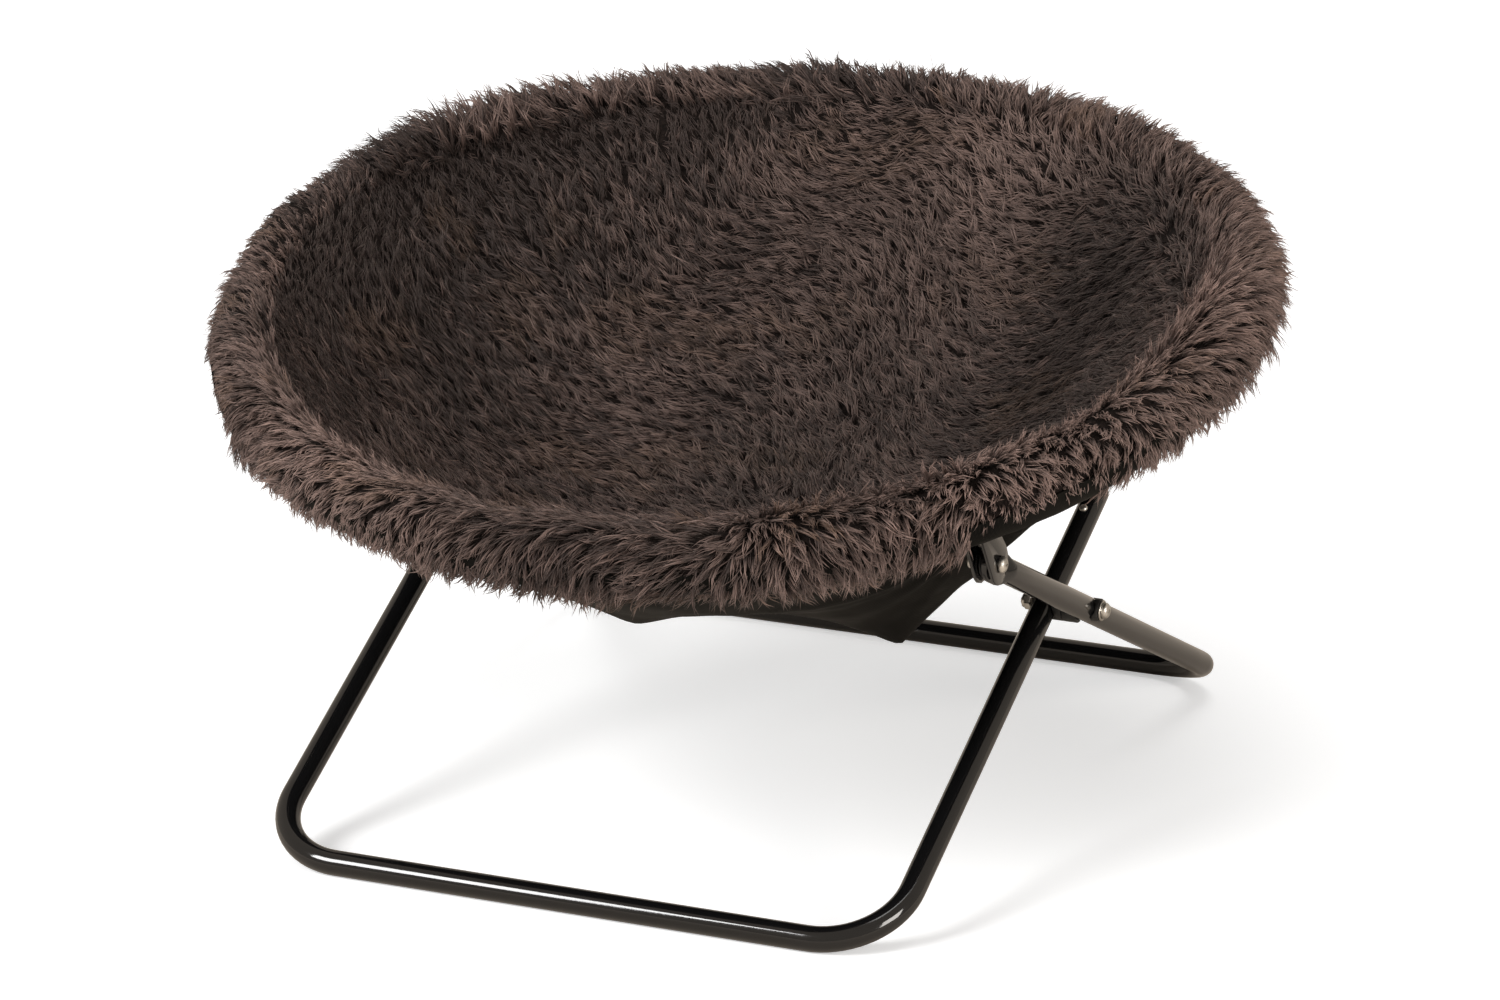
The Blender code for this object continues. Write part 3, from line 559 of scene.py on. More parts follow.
class Shape:
    """A mesh under construction and the piece that it becomes."""

    def __init__(self) -> None:
        """Starts an empty mesh."""
        self.mesh = bmesh.new()

    def loft(self, rings: np.ndarray, closed: bool = False) -> None:
        """Rolls a grid into a tube through rings of points, and fills its ends.

        Args:
            rings: The rings, in order, with as many points in each.
            closed: Whether the last ring joins the first.
        """
        if closed:
            rings = np.concatenate([rings, rings[:1]])
        rings = np.concatenate([rings, rings[:, :1]], 1)
        rows, columns = rings.shape[0] - 1, rings.shape[1] - 1
        made = bmesh.ops.create_grid(self.mesh, x_segments=columns, y_segments=rows, size=1)["verts"]
        for vert in made:
            column = round((vert.co.x + 1) / 2 * columns)
            row = round((vert.co.y + 1) / 2 * rows)
            vert.co = rings[row, column]
        seam = [vert for vert in made if vert.is_boundary]
        bmesh.ops.remove_doubles(self.mesh, verts=seam, dist=1e-7)
        bmesh.ops.holes_fill(self.mesh, edges=self.mesh.edges, sides=0)
        bmesh.ops.recalc_face_normals(self.mesh, faces=self.mesh.faces)

    def sweep(self, sections: Sequence[Section], sides: int) -> None:
        """Makes a closed tube with a number of sides through sections."""
        turns = [math.tau * (step + 0.5) / sides for step in range(sides)]
        self.loft(np.array([[section.point(turn)[:] for turn in turns] for section in sections]))

    def lathe(self, stations: Stations, sides: int, bore: float = 0.0, form: Form | None = None) -> None:
        """Spins a profile about +X.

        Args:
            stations: Places along +X with their radii.
            sides: How many sides the turned piece has.
            bore: The radius of a hole through it, or zero for none.
            form: Gives a point's radius from its place, radius and angle where the piece isn't round.
        """
        outline = [Vector((x, radius, 0)) for x, radius in stations]
        if bore:
            outline += [Vector((stations[-1][0], bore, 0)), Vector((stations[0][0], bore, 0))]
        else:
            outline = [Vector((stations[0][0], 0, 0)), *outline, Vector((stations[-1][0], 0, 0))]
        verts = [self.mesh.verts.new(point) for point in outline]
        pairs = list(zip(verts, verts[1:])) + ([(verts[-1], verts[0])] if bore else [])
        edges = [self.mesh.edges.new(pair) for pair in pairs]
        bmesh.ops.spin(
            self.mesh,
            geom=verts + edges,
            axis=(1, 0, 0),
            cent=(0, 0, 0),
            angle=math.tau,
            steps=sides,
            use_merge=True,
        )
        bmesh.ops.remove_doubles(self.mesh, verts=self.mesh.verts, dist=1e-6)
        for vert in self.mesh.verts if form else ():
            radius = math.hypot(vert.co.y, vert.co.z)
            if radius > 1e-6:
                share = form(vert.co.x, radius, math.atan2(vert.co.z, vert.co.y)) / radius
                vert.co = (vert.co.x, vert.co.y * share, vert.co.z * share)
        bmesh.ops.recalc_face_normals(self.mesh, faces=self.mesh.faces)

    def aim(self, seat: Vector, direction: Vector) -> None:
        """Turns the mesh's +X to a direction and puts its origin on a seat."""
        turn = Vector((1, 0, 0)).rotation_difference(direction).to_matrix().to_4x4()
        bmesh.ops.transform(self.mesh, matrix=Matrix.Translation(seat) @ turn, verts=self.mesh.verts)

    def disc(self, cells: int, gap: float) -> tuple[np.ndarray, np.ndarray]:
        """Adds a grid of square cells that is to become half a disc.

        Args:
            cells: How many cells it has across.
            gap: How far it stays from the parting line, in metres.

        Returns:
            Its vertices' places across and away from the parting line on the unit disc.
        """
        bmesh.ops.create_grid(self.mesh, x_segments=cells, y_segments=cells // 2, size=1)
        flat = np.array([vert.co[:] for vert in self.mesh.verts])
        u, v = flat[:, 0], (flat[:, 1] + 1) / 2
        x, y = u * np.sqrt(1 - v * v / 2) * 0.999, v * np.sqrt(1 - u * u / 2) * 0.999
        return x, np.maximum(y, gap / PLAN.radius)

    def finish(self, label: Label, dress: bpy.types.Material, crease: float = 40.0) -> bpy.types.Object:
        """Makes the mesh a piece of the nest.

        Args:
            label: The piece's label.
            dress: Its material.
            crease: The angle in degrees above which an edge stays sharp.

        Returns:
            The piece.
        """
        data = bpy.data.meshes.new(label.name)
        self.mesh.to_mesh(data)
        self.mesh.free()
        data.shade_smooth()
        data.set_sharp_from_angle(angle=math.radians(crease))
        return place_piece(label, data, dress)


def put(name: str, data: bpy.types.ID) -> bpy.types.Object:
    """Links a new object into the scene.

    Args:
        name: The object's name.
        data: Its mesh, camera or lamp.

    Returns:
        The object.
    """
    thing = bpy.data.objects.new(name, data)
    bpy.context.scene.collection.objects.link(thing)
    return thing


def place_piece(label: Label, data: bpy.types.Mesh, dress: bpy.types.Material) -> bpy.types.Object:
    """Puts a mesh in the scene as a piece that a body carries.

    Args:
        label: The piece's label.
        data: Its mesh.
        dress: Its material.

    Returns:
        The piece.
    """
    data.materials.append(dress)
    piece = put(label.name, data)
    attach(piece, label.body)
    if label.nodes:
        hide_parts(*label.nodes)
    LOG.info("%s on %s: %d faces", label.name, label.body, len(data.polygons))
    return piece


# Leg frames


@dataclass
class LegFrame:
    """One U-shaped frame of bent tube with flattened upper ends, made without their drilled holes."""

    half: Half
    half_width: float
    flat_length: float
    tube_radius: float = 0.0065
    leg_angle: float = math.radians(26)
    foot_reach: float = 0.2208
    pivot_z: float = 0.114191
    link: float = 0.154948
    bend_radius: float = 0.041
    flat_thickness: float = 0.0044
    flat_width: float = 0.0184
    flat_square: float = 0.42
    flare_length: float = 0.011
    sides: int = 32
    flat_steps: int = 4
    flare_steps: int = 8
    leg_steps: int = 12
    bend_steps: int = 18

    @property
    def body(self) -> str:
        """The body of this frame."""
        return f"{self.half.word}_legs"

    def axes(self) -> tuple[Vector, Vector]:
        """The direction up the legs and the frame's normal."""
        toward, cosine, sine = -self.half.value, math.cos(self.leg_angle), math.sin(self.leg_angle)
        return Vector((0, toward * cosine, sine)), Vector((0, -toward * sine, cosine))

    def _flat(self, place: float, half_up: float) -> tuple[float, ...]:
        """A flattened section at a place along the leg."""
        return (self.half_width, place, 0, self.flat_thickness / 2, half_up, self.flat_square)

    def half_sections(self) -> list[tuple[float, ...]]:
        """Half of the frame, from a tip to the foot bar.

        Returns:
            Rows of x, place along the leg, turn, half width, half height and squareness.
        """
        wide = self.flat_width / 2
        rows = []
        for degrees in (86, 75, 62, 48, 34, 20, 8):
            angle = math.radians(degrees)
            rows.append(self._flat(self.link + wide * math.sin(angle), wide * math.cos(angle)))
        rows.append(self._flat(self.link, wide))
        start = self.link - self.flat_length
        for step in range(1, self.flat_steps + 1):
            rows.append(self._flat(self.link - self.flat_length * step / self.flat_steps, wide))
        for step in range(1, self.flare_steps + 1):
            share = step / self.flare_steps
            ease = share * share * (3 - 2 * share)
            across = self.flat_thickness / 2 + (self.tube_radius - self.flat_thickness / 2) * ease
            up = wide + (self.tube_radius - wide) * ease
            place = start - self.flare_length * share
            square = self.flat_square + (1 - self.flat_square) * ease
            rows.append((self.half_width, place, 0, across, up, square))
        foot = self.foot_reach / math.cos(self.leg_angle)
        low = -foot + self.bend_radius
        top = start - self.flare_length
        for step in range(1, self.leg_steps):
            place = top + (low - top) * step / self.leg_steps
            rows.append((self.half_width, place, 0, self.tube_radius, self.tube_radius, 1))
        for step in range(self.bend_steps + 1):
            angle = -math.pi / 2 * step / self.bend_steps
            x = self.half_width - self.bend_radius + self.bend_radius * math.cos(angle)
            place = low + self.bend_radius * math.sin(angle)
            rows.append((x, place, angle, self.tube_radius, self.tube_radius, 1))
        return rows

    def build(self, finishes: Finishes) -> bpy.types.Object:
        """Builds the frame.

        Args:
            finishes: The nest's finishes.

        Returns:
            The piece.
        """
        along, normal = self.axes()
        half = self.half_sections()
        mirrored = [(-x, place, math.pi - turn, *rest) for x, place, turn, *rest in reversed(half)]
        sections = []
        for x, place, turn, across, up, square in half + mirrored:
            centre = Vector((x, -PLAN.middle_y, self.pivot_z)) + along * place
            side = Vector((math.cos(turn), 0, 0)) + along * math.sin(turn)
            sections.append(Section(centre, side, normal, across, up, square))
        shape = Shape()
        shape.sweep(sections, self.sides)
        word = self.half.word
        label = Label(f"{word}_frame_tube", self.body, "black_paint", [f"{word}_foot_frame"])
        return shape.finish(label, finishes.paint)


# Pile


@dataclass
class Bed:
    """Where pile grows: one row for each tuft."""

    root: np.ndarray
    normal: np.ndarray
    lay: np.ndarray
    length: np.ndarray
    lift: np.ndarray
    rust: np.ndarray
    tone: np.ndarray

    def part(self, keep: np.ndarray) -> "Bed":
        """The tufts that a mask keeps."""
        rows = (self.root, self.normal, self.lay, self.length, self.lift, self.rust, self.tone)
        return Bed(*(row[keep] for row in rows))


def unit(rows: np.ndarray) -> np.ndarray:
    """Rows scaled to a length of one."""
    return rows / np.maximum(np.linalg.norm(rows, axis=-1, keepdims=True), 1e-9)


def swirl(place: np.ndarray, scale: float, seed: int) -> np.ndarray:
    """A smooth wandering value between about -1 and 1.

    Args:
        place: Points, one row each.
        scale: The size of a swirl in metres.
        seed: Which pattern.

    Returns:
        One value for each point.
    """
    rng = np.random.default_rng(seed)
    total = np.zeros(len(place))
    for size in (1.0, 0.6, 0.35):
        for _ in range(3):
            way = unit(rng.normal(size=(1, 3)))[0] * math.tau / (scale * size)
            total += size * np.sin(place @ way + rng.uniform(0, math.tau))
    return total / 3.2


def comb(way: np.ndarray, normal: np.ndarray, turn: np.ndarray, stray: np.ndarray) -> np.ndarray:
    """Lays tufts along a surface.

    Args:
        way: The way that each lies, one row each.
        normal: The surface's normals.
        turn: How far each turns about its normal.
        stray: How each strays from that, one row each.

    Returns:
        The directions along the surface.
    """
    lay = unit(way)
    lay = unit(lay * np.cos(turn)[:, None] + np.cross(normal, lay) * np.sin(turn)[:, None])
    lay = unit(lay + stray)
    return unit(lay - normal * (lay * normal).sum(-1, keepdims=True))


@dataclass(frozen=True)
class Strand:
    """One lock of pile: its rings and profile, how tufts gather, and how much each lock differs."""

    rings: tuple[float, ...]
    profile: tuple[float, ...]
    half_width: float
    gather: tuple[float, float]
    flatness: float = 0.5
    curl: float = 0.5
    droop: tuple[float, float] = (0.02, 0.3)
    stray: float = 0.0008
    wander: float = 0.0006
    sizes: tuple[float, float] = (0.62, 1.12)
    widths: tuple[float, float] = (0.6, 1.4)
    twist: float = 0.5
    tuft_tone: float = 0.26
    strand_tone: float = 0.16


@dataclass(frozen=True)
class Hair:
    """A long, fine, pale hair that stands clear of the tufts, against a lock of pile."""

    lengths: tuple[float, float] = (1.1, 1.55)
    lift: float = 0.12
    spread: float = 0.001
    width: float = 0.42
    tone: float = 1.0
    rust: float = 0.3


RIM_STRAND = Strand((0.0, 0.3, 0.68), (0.0, 1.0, 0.8, 0.0), 0.00038, (0.5, 1.0))
DISH_STRAND = Strand((0.0, 0.48), (0.0, 1.0, 0.0), 0.00036, (0.3, 0.9))
HAIR = Hair()


class Pile:
    """Locks of pile, each a tapering closed strand, gathered in tufts whose tips draw together."""

    cell_share = 0.8

    def __init__(self, strand: Strand, seed: int) -> None:
        """Makes the strand that is repeated.

        Args:
            strand: The strand's rings and width.
            seed: The seed of the pile's random draws.
        """
        self.strand = strand
        self.stations = np.array([*strand.rings, 1.0])
        self.rng = np.random.default_rng(seed)
        mesh = bmesh.new()
        line = [mesh.verts.new((width, 0, height)) for height, width in zip(self.stations, strand.profile)]
        edges = [mesh.edges.new(pair) for pair in zip(line, line[1:])]
        bmesh.ops.spin(
            mesh, geom=line + edges, axis=(0, 0, 1), cent=(0, 0, 0), angle=math.tau, steps=3, use_merge=True
        )
        bmesh.ops.remove_doubles(mesh, verts=mesh.verts, dist=1e-4)
        bmesh.ops.recalc_face_normals(mesh, faces=mesh.faces)
        mesh.verts.index_update()
        self.heights = np.array([vert.co.z for vert in mesh.verts])
        self.turns = np.array([math.atan2(vert.co.y, vert.co.x) for vert in mesh.verts])
        self.faces = [[vert.index for vert in face.verts] for face in mesh.faces]
        mesh.free()

    def guide(self, bed: Bed) -> np.ndarray:
        """Bends one line for each tuft, from its root along its lay.

        Args:
            bed: The tufts.

        Returns:
            The lines' points at the stations.
        """
        count = len(bed.root)
        side = unit(np.cross(bed.normal, bed.lay))
        curl = self.rng.normal(0, self.strand.curl, count)
        droop = self.rng.uniform(*self.strand.droop, count)
        line = [bed.root]
        for number, step in enumerate(np.diff(self.stations)):
            middle = self.stations[number] + step / 2
            turn = (curl * middle)[:, None]
            way = bed.lay * np.cos(turn) + side * np.sin(turn)
            rise = (bed.lift * (1.1 - 1.05 * middle))[:, None]
            way = way * np.cos(rise) + bed.normal * np.sin(rise)
            way = unit(way - np.array([0, 0, 1.0]) * (droop * middle)[:, None])
            line.append(line[-1] + way * (bed.length * step)[:, None])
        return np.stack(line, 1)

    def strands(self, bed: Bed, each: int, spread: float) -> dict[str, np.ndarray]:
        """Spreads each tuft into strands.

        Args:
            bed: The tufts.
            each: Strands in a tuft.
            spread: The tuft's radius at its root.

        Returns:
            The strands' lines, sides, twists, widths, tones, and rust tint with painted glow.
        """
        rng, strand, count, stations = self.rng, self.strand, len(bed.root), self.stations
        side = unit(np.cross(bed.normal, bed.lay))
        reach = (np.sqrt(rng.uniform(0.02, 1, (count, each))) * spread)[..., None]
        angle = rng.uniform(0, math.tau, (count, each))[..., None]
        offset = side[:, None] * reach * np.cos(angle) + bed.lay[:, None] * reach * np.sin(angle)
        gather = rng.uniform(*strand.gather, (count, each))
        share = 1 - gather[..., None] * stations**1.1
        points = self.guide(bed)[:, None] + offset[:, :, None] * share[..., None]
        stray = rng.normal(0, strand.stray, (count, each, 3))
        wander = rng.normal(0, strand.wander, (count, each, 3))
        points = points + stray[:, :, None] * (stations**1.3)[:, None]
        points = points + wander[:, :, None] * np.sin(stations * math.pi * 1.3)[:, None]
        size = rng.uniform(*strand.sizes, (count, each))
        points = points[:, :, :1] + (points - points[:, :, :1]) * size[..., None, None]
        tone = bed.tone[:, None] + rng.normal(0, strand.tuft_tone, (count, 1))
        tone = tone + rng.normal(0, strand.strand_tone, (count, each))
        total = count * each
        return {
            "points": points.reshape(total, len(stations), 3),
            "side": np.repeat(side, each, 0),
            "twist": rng.normal(0, strand.twist, total),
            "width": strand.half_width * rng.uniform(*strand.widths, total),
            "tone": np.clip(tone, 0.02, 1.5).reshape(total),
            "rust": np.repeat(bed.rust, each),
        }

    def strays(self, bed: Bed, count: int) -> dict[str, np.ndarray]:
        """Adds long, fine, pale hairs that stand clear of the tufts.

        Args:
            bed: The tufts.
            count: How many hairs.

        Returns:
            Their lines, sides, twists, widths, tones, and rust tint with painted glow.
        """
        picked = bed.part(np.arange(len(bed.root)) % max(1, len(bed.root) // count) == 0)
        picked.length = picked.length * self.rng.uniform(*HAIR.lengths, len(picked.root))
        picked.lift = picked.lift + HAIR.lift
        made = self.strands(picked, 1, HAIR.spread)
        made["width"] = made["width"] * HAIR.width
        made["tone"] = np.full(len(picked.root), HAIR.tone)
        made["rust"] = made["rust"] * HAIR.rust
        return made

    def mesh(self, name: str, groups: Sequence[dict[str, np.ndarray]]) -> bpy.types.Mesh:
        """Wraps a strand's skin round every line.

        Args:
            name: The mesh's name.
            groups: What strands() and strays() gave.

        Returns:
            The mesh, with the lock attribute and its map.
        """
        made = {key: np.concatenate([group[key] for group in groups]) for key in groups[0]}
        points, count = made["points"], len(made["points"])
        level = np.abs(self.heights[:, None] - self.stations[None]).argmin(1)
        way = unit(np.gradient(points, axis=1))
        side = unit(made["side"][:, None] - way * (made["side"][:, None] * way).sum(-1, keepdims=True))
        other = np.cross(way, side)
        cos, sin = np.cos(made["twist"])[:, None, None], np.sin(made["twist"])[:, None, None]
        wide, thick = side * cos + other * sin, other * cos - side * sin
        profile = np.array(self.strand.profile)[level]
        ring_x = np.cos(self.turns) * profile
        ring_y = np.sin(self.turns) * profile * self.strand.flatness
        width = made["width"][:, None, None]
        verts = points[:, level] + wide[:, level] * ring_x[None, :, None] * width
        verts = verts + thick[:, level] * ring_y[None, :, None] * width
        each = len(level)
        flat = np.concatenate([np.array(face) for face in self.faces])
        sizes = np.tile([len(face) for face in self.faces], count)
        loops = (flat[None] + (np.arange(count) * each)[:, None]).reshape(-1)
        starts = np.concatenate([[0], np.cumsum(sizes)[:-1]])
        data = bpy.data.meshes.new(name)
        data.vertices.add(count * each)
        data.vertices.foreach_set("co", verts.reshape(-1).astype(np.float32))
        data.loops.add(len(loops))
        data.loops.foreach_set("vertex_index", loops.astype(np.int32))
        data.polygons.add(len(starts))
        data.polygons.foreach_set("loop_start", starts.astype(np.int32))
        data.update(calc_edges=True)
        data.polygons.foreach_set("use_smooth", np.ones(len(starts), bool))
        lock = np.zeros((count, each, 3), np.float32)
        lock[..., 0] = self.heights
        lock[..., 1] = made["tone"][:, None]
        lock[..., 2] = made["rust"][:, None]
        data.attributes.new("lock", "FLOAT_VECTOR", "POINT").data.foreach_set("vector", lock.reshape(-1))
        self._map(data, count, flat)
        return data

    def _map(self, data: bpy.types.Mesh, count: int, flat: np.ndarray) -> None:
        """Gives every strand its own cell of the map.

        Args:
            data: The mesh.
            count: How many strands it has.
            flat: The strand's corners, face after face.
        """
        rows = math.ceil(math.sqrt(count / 2))
        columns = math.ceil(count / rows)
        corner = np.argsort(np.argsort(np.round(self.turns, 2), kind="stable"), kind="stable") % 3
        u = corner[flat] / 2 * self.cell_share + 0.1
        v = self.heights[flat] * self.cell_share + 0.1
        start = 0
        for face in self.faces:
            if np.ptp(v[start : start + len(face)]) < 1e-6:
                v[start] += 0.05
            start += len(face)
        number = np.arange(count)
        grid = np.empty((count, len(flat), 2), np.float32)
        grid[..., 0] = ((number % columns)[:, None] + u[None]) / columns
        grid[..., 1] = ((number // columns)[:, None] + v[None]) / rows
        data.uv_layers.new(name="OFBake").uv.foreach_set("vector", grid.reshape(-1))


def patches(place: np.ndarray, spots: Spots, base: float, seed: int, wander: float = 0.2) -> np.ndarray:
    """Lays patches over the pile in which a value differs from the rest.

    Args:
        place: The tufts' roots.
        spots: Rows of x, y, z, radius and change.
        base: The plain value.
        seed: Which wandering pattern lies under the spots.
        wander: How strong that pattern is.

    Returns:
        The value for each tuft.
    """
    tone = base + wander * swirl(place, 0.09, seed)
    for *centre, radius, change in spots:
        away = np.linalg.norm(place - np.array(centre), axis=1) / radius
        tone = tone + change * np.exp(-(away**2))
    return tone


def scatter(count: int, rng: np.random.Generator) -> list[np.ndarray]:
    """The two coordinates of a count of places spread evenly over a unit square."""
    number, steps = np.arange(count), (0.7548776662, 0.5698402910)
    return [(0.5 + number * step + rng.normal(0, 0.25, count) / math.sqrt(count)) % 1 for step in steps]


def crumple(piece: bpy.types.Object) -> bpy.types.Object:
    """Gives a layer of the dish its own copy of its mesh.

    Args:
        piece: The layer.

    Returns:
        The piece.
    """
    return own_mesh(piece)


@dataclass
class Tufted:
    """Half of a padded piece on which pile grows."""

    half: Half
    stem: str
    strand: Strand
    tufts: int
    strands: int
    hairs: int
    spread: float
    first_seed: int
    seed_step: int
    spare: float
    lift: float
    stray: float
    lift_spread: float = 9.0
    lengths: tuple[float, float] = (0.75, 1.2)
    margin: float = 0.004
    keep: float = 1.0
    pile_length: float = 0.0162
    root_sink: float = 0.0012
    end_gap: float = 0.00002

    def bed(self, rng: np.random.Generator) -> Bed:
        """Chooses where the tufts grow and how they lie."""
        raise NotImplementedError

    def dress(self, finishes: Finishes) -> None:
        """Grows the pile, in a right and a left piece.

        Args:
            finishes: The nest's finishes.
        """
        seed = self.first_seed + self.half.value
        bed = self.bed(np.random.default_rng(seed))
        for side in Side:
            pile = Pile(self.strand, seed * self.seed_step + side.value)
            mine = bed.part(bed.root[:, 0] * side.value > 0)
            mine = mine.part(np.arange(len(mine.root)) < self.tufts // 2)
            groups = [pile.strands(mine, self.strands, self.spread), pile.strays(mine, self.hairs)]
            label = Label(f"{self.stem}_pile_{self.half.word}_{side.word}", self.half.body, "plush")
            piece = place_piece(label, pile.mesh(label.name, groups), finishes.pile)
            if self.keep < 1:
                crumple(piece)


# Padded rim

# Spots of painted light and painted shade on the rim's pile, lighter where light falls more on the roll and
# darker where it falls less: x, y, z, radius and change
RIM_LIGHT_AND_SHADE_SPOTS = (
    (-0.103, -0.241, 0.215, 0.060, 0.80),
    (-0.210, -0.165, 0.235, 0.050, -0.20),
    (0.060, -0.264, 0.200, 0.080, -0.50),
    (0.250, -0.120, 0.240, 0.070, 1.10),
    (0.265, 0.031, 0.279, 0.080, 0.35),
    (0.140, 0.230, 0.300, 0.080, 0.25),
    (-0.065, 0.234, 0.315, 0.100, -0.30),
    (-0.243, 0.060, 0.286, 0.090, -0.62),
)
# Spots of longer or shorter pile: x, y, z, radius and change
RIM_STANDS = (
    (-0.25, -0.08, 0.24, 0.10, -0.50),
    (-0.257, 0.02, 0.26, 0.07, -0.60),
    (-0.215, 0.135, 0.28, 0.09, 0.75),
    (0.235, -0.09, 0.24, 0.05, -0.30),
    (0.257, -0.02, 0.255, 0.04, 0.35),
    (-0.10, -0.25, 0.20, 0.05, -0.40),
    (0.26, 0.0, 0.26, 0.05, 0.25),
    (0.20, 0.16, 0.28, 0.06, -0.25),
)


@dataclass
class RimPad(Tufted):
    """Half of the rolled rim: a lumpy padded tube round the hoop, under long pile."""

    stem: str = "rim"
    strand: Strand = RIM_STRAND
    tufts: int = 4560
    strands: int = 7
    hairs: int = 110
    spread: float = 0.0027
    first_seed: int = 40
    seed_step: int = 7
    spare: float = 1.06
    lift: float = 36.0
    stray: float = 0.2
    core_radius: float = 0.0158
    bore: float = 0.0072
    sides: int = 36
    steps: int = 120
    lump: float = 0.05
    hinge_z: float = 0.250043
    fold_slope: float = 1.79
    pile_top: float = math.radians(166)
    pile_foot: float = math.radians(-112)
    casing_foot: float = math.radians(3)
    casing_front: float = math.radians(35.4)
    casing_rear: float = math.radians(39.5)
    casing_reach: float = math.radians(8.3)
    casing_fade: float = math.radians(2)
    slim_share: float = 0.12
    slim_span: float = 0.5
    end_angle: float = 0.0001

    def radius(self, angle: np.ndarray, turn: np.ndarray) -> np.ndarray:
        """The core's radius, which swells and eases along and round the roll.

        Args:
            angle: Angles round the hoop.
            turn: Angles round the roll.

        Returns:
            The radii.
        """
        along = np.cos(18 * angle + 1.3 * np.sin(3 * angle))
        round_it = np.cos(2 * turn + 5 * angle)
        slim = self.slim(angle) * np.clip(np.cos(turn), 0, 1)
        return self.core_radius * (1 - slim + self.lump * along + 0.4 * self.lump * round_it)

    def slim(self, angle: np.ndarray) -> np.ndarray:
        """The share by which the roll is slimmer on its outer side, at the left."""
        return self.slim_share * np.exp(-(((math.pi - angle) / self.slim_span) ** 2))

    def surface(self, angle: np.ndarray, turn: np.ndarray) -> tuple[np.ndarray, np.ndarray]:
        """Points on the core at angles round the hoop and turns round the roll, and their normals."""
        centre, normal = PLAN.roll(self.half, angle, turn)
        return centre + normal * self.radius(angle, turn)[..., None], normal

    def cased(self, angle: np.ndarray) -> np.ndarray:
        """Finds how far the pile is cut back, so that the woven casing shows round each hanger.

        Args:
            angle: Angles round the hoop.

        Returns:
            Shares from 0 to 1.
        """
        middle = self.casing_front if self.half is Half.FRONT else self.casing_rear
        away = np.abs(np.minimum(angle, math.pi - angle) - middle)
        return np.clip((self.casing_reach - away) / self.casing_fade, 0, 1)

    def clear_fold(self, points: np.ndarray) -> np.ndarray:
        """Draws points back from the halves' parting plane, and from the wedge below the hinge pin.

        Args:
            points: The points.

        Returns:
            The moved points.
        """
        away = (points[..., 1] + PLAN.middle_y) * self.half.value
        least = self.end_gap + np.maximum(0, self.hinge_z - points[..., 2]) * self.fold_slope
        moved = points.copy()
        moved[..., 1] = np.maximum(away, least) * self.half.value - PLAN.middle_y
        return moved

    def build(self, finishes: Finishes) -> bpy.types.Object:
        """Builds the padded core.

        Args:
            finishes: The nest's finishes.

        Returns:
            The piece.
        """
        angles = np.linspace(self.end_angle, math.pi - self.end_angle, self.steps + 1)[:, None]
        turns = np.arange(self.sides)[None] * math.tau / self.sides
        centre, normal = PLAN.roll(self.half, angles, turns)
        outer = self.clear_fold(self.surface(angles, turns)[0])
        inner = self.clear_fold(centre + normal * self.bore)
        shape = Shape()
        shape.loft(np.concatenate([outer, inner[::-1]]), closed=True)
        word = self.half.word
        label = Label(f"rim_pad_{word}", self.half.body, "plush", [f"rim_roll_{word}"])
        return shape.finish(label, finishes.backing, crease=70)

    def bed(self, rng: np.random.Generator) -> Bed:
        """Chooses where the rim's tufts grow and how they lie.

        Args:
            rng: The random draws.

        Returns:
            The tufts.
        """
        count = int(self.tufts * self.spare)
        first, second = scatter(count, rng)
        angle = self.margin + (math.pi - 2 * self.margin) * first
        turn = self.pile_foot + (self.pile_top - self.pile_foot) * second
        root, normal = self.surface(angle, turn)
        step, _ = self.surface(angle + 0.01, turn)
        along = unit(step - root)
        round_it = unit(np.cross(normal, along))
        sweep, _ = self.surface(angle, turn - 0.02)
        down = np.where(((sweep - root) * round_it).sum(-1, keepdims=True) > 0, round_it, -round_it)
        leftward = np.array([-1.0, 0, 0]) + normal * normal[:, :1]
        wander = swirl(root, 0.11, 5) * 0.7
        share = 0.75 - 0.6 * np.clip(root[:, :1] / 0.15, 0, 1)
        share = share - 0.4 * np.clip(-root[:, :1] / 0.1 - 1.5, 0, 1)
        lay = comb(down * 0.7 + leftward * share, normal, wander, rng.normal(0, self.stray, (count, 3)))
        stand = np.clip(patches(root, RIM_STANDS, 1.0, 53, 0.10), 0.3, 1.9)
        length = self.pile_length * rng.uniform(*self.lengths, count) * (0.4 + 0.6 * stand)
        length = length * (1 - 0.3 * np.clip((-50 - np.degrees(turn)) / 20, 0, 1))
        lift = np.radians(rng.normal(self.lift, self.lift_spread, count) * (0.6 + 0.4 * stand))
        away = (root[:, 1] + PLAN.middle_y) * self.half.value
        near = np.clip((0.012 - away) / 0.012, 0, 1)
        keep = away > self.end_gap + np.maximum(0, self.hinge_z - root[:, 2] + 0.002) * self.fold_slope
        bare = self.cased(angle) * (turn < self.casing_foot)
        keep = keep & (bare < 0.05)
        cut = self.cased(angle) * np.clip((self.casing_foot + 1.1 - turn) / 0.5, 0, 1)
        length = length * (1 - 0.25 * near) * (1 - 0.5 * cut)
        lift = lift + 0.45 * cut
        # Rust tint: painted glow of backlit tips, strongest on the roll's lower side, plus random warm
        # patches
        rust = np.clip(0.8 - (np.degrees(turn) + 75) / 75, 0, 0.95)
        rust = np.clip(rust + 0.35 * (swirl(root, 0.07, 12) > 0.55), 0, 0.8) * rng.uniform(0.2, 1, count)
        # Tone: the painted light and painted shade spots over a base lighter than the dish's, painted as more
        # light on the roll than in the bowl, plus random swirls
        tone = patches(root, RIM_LIGHT_AND_SHADE_SPOTS, 0.62, 51)
        root = root - normal * self.root_sink
        return Bed(root, normal, lay, length, lift, rust, tone).part(keep)
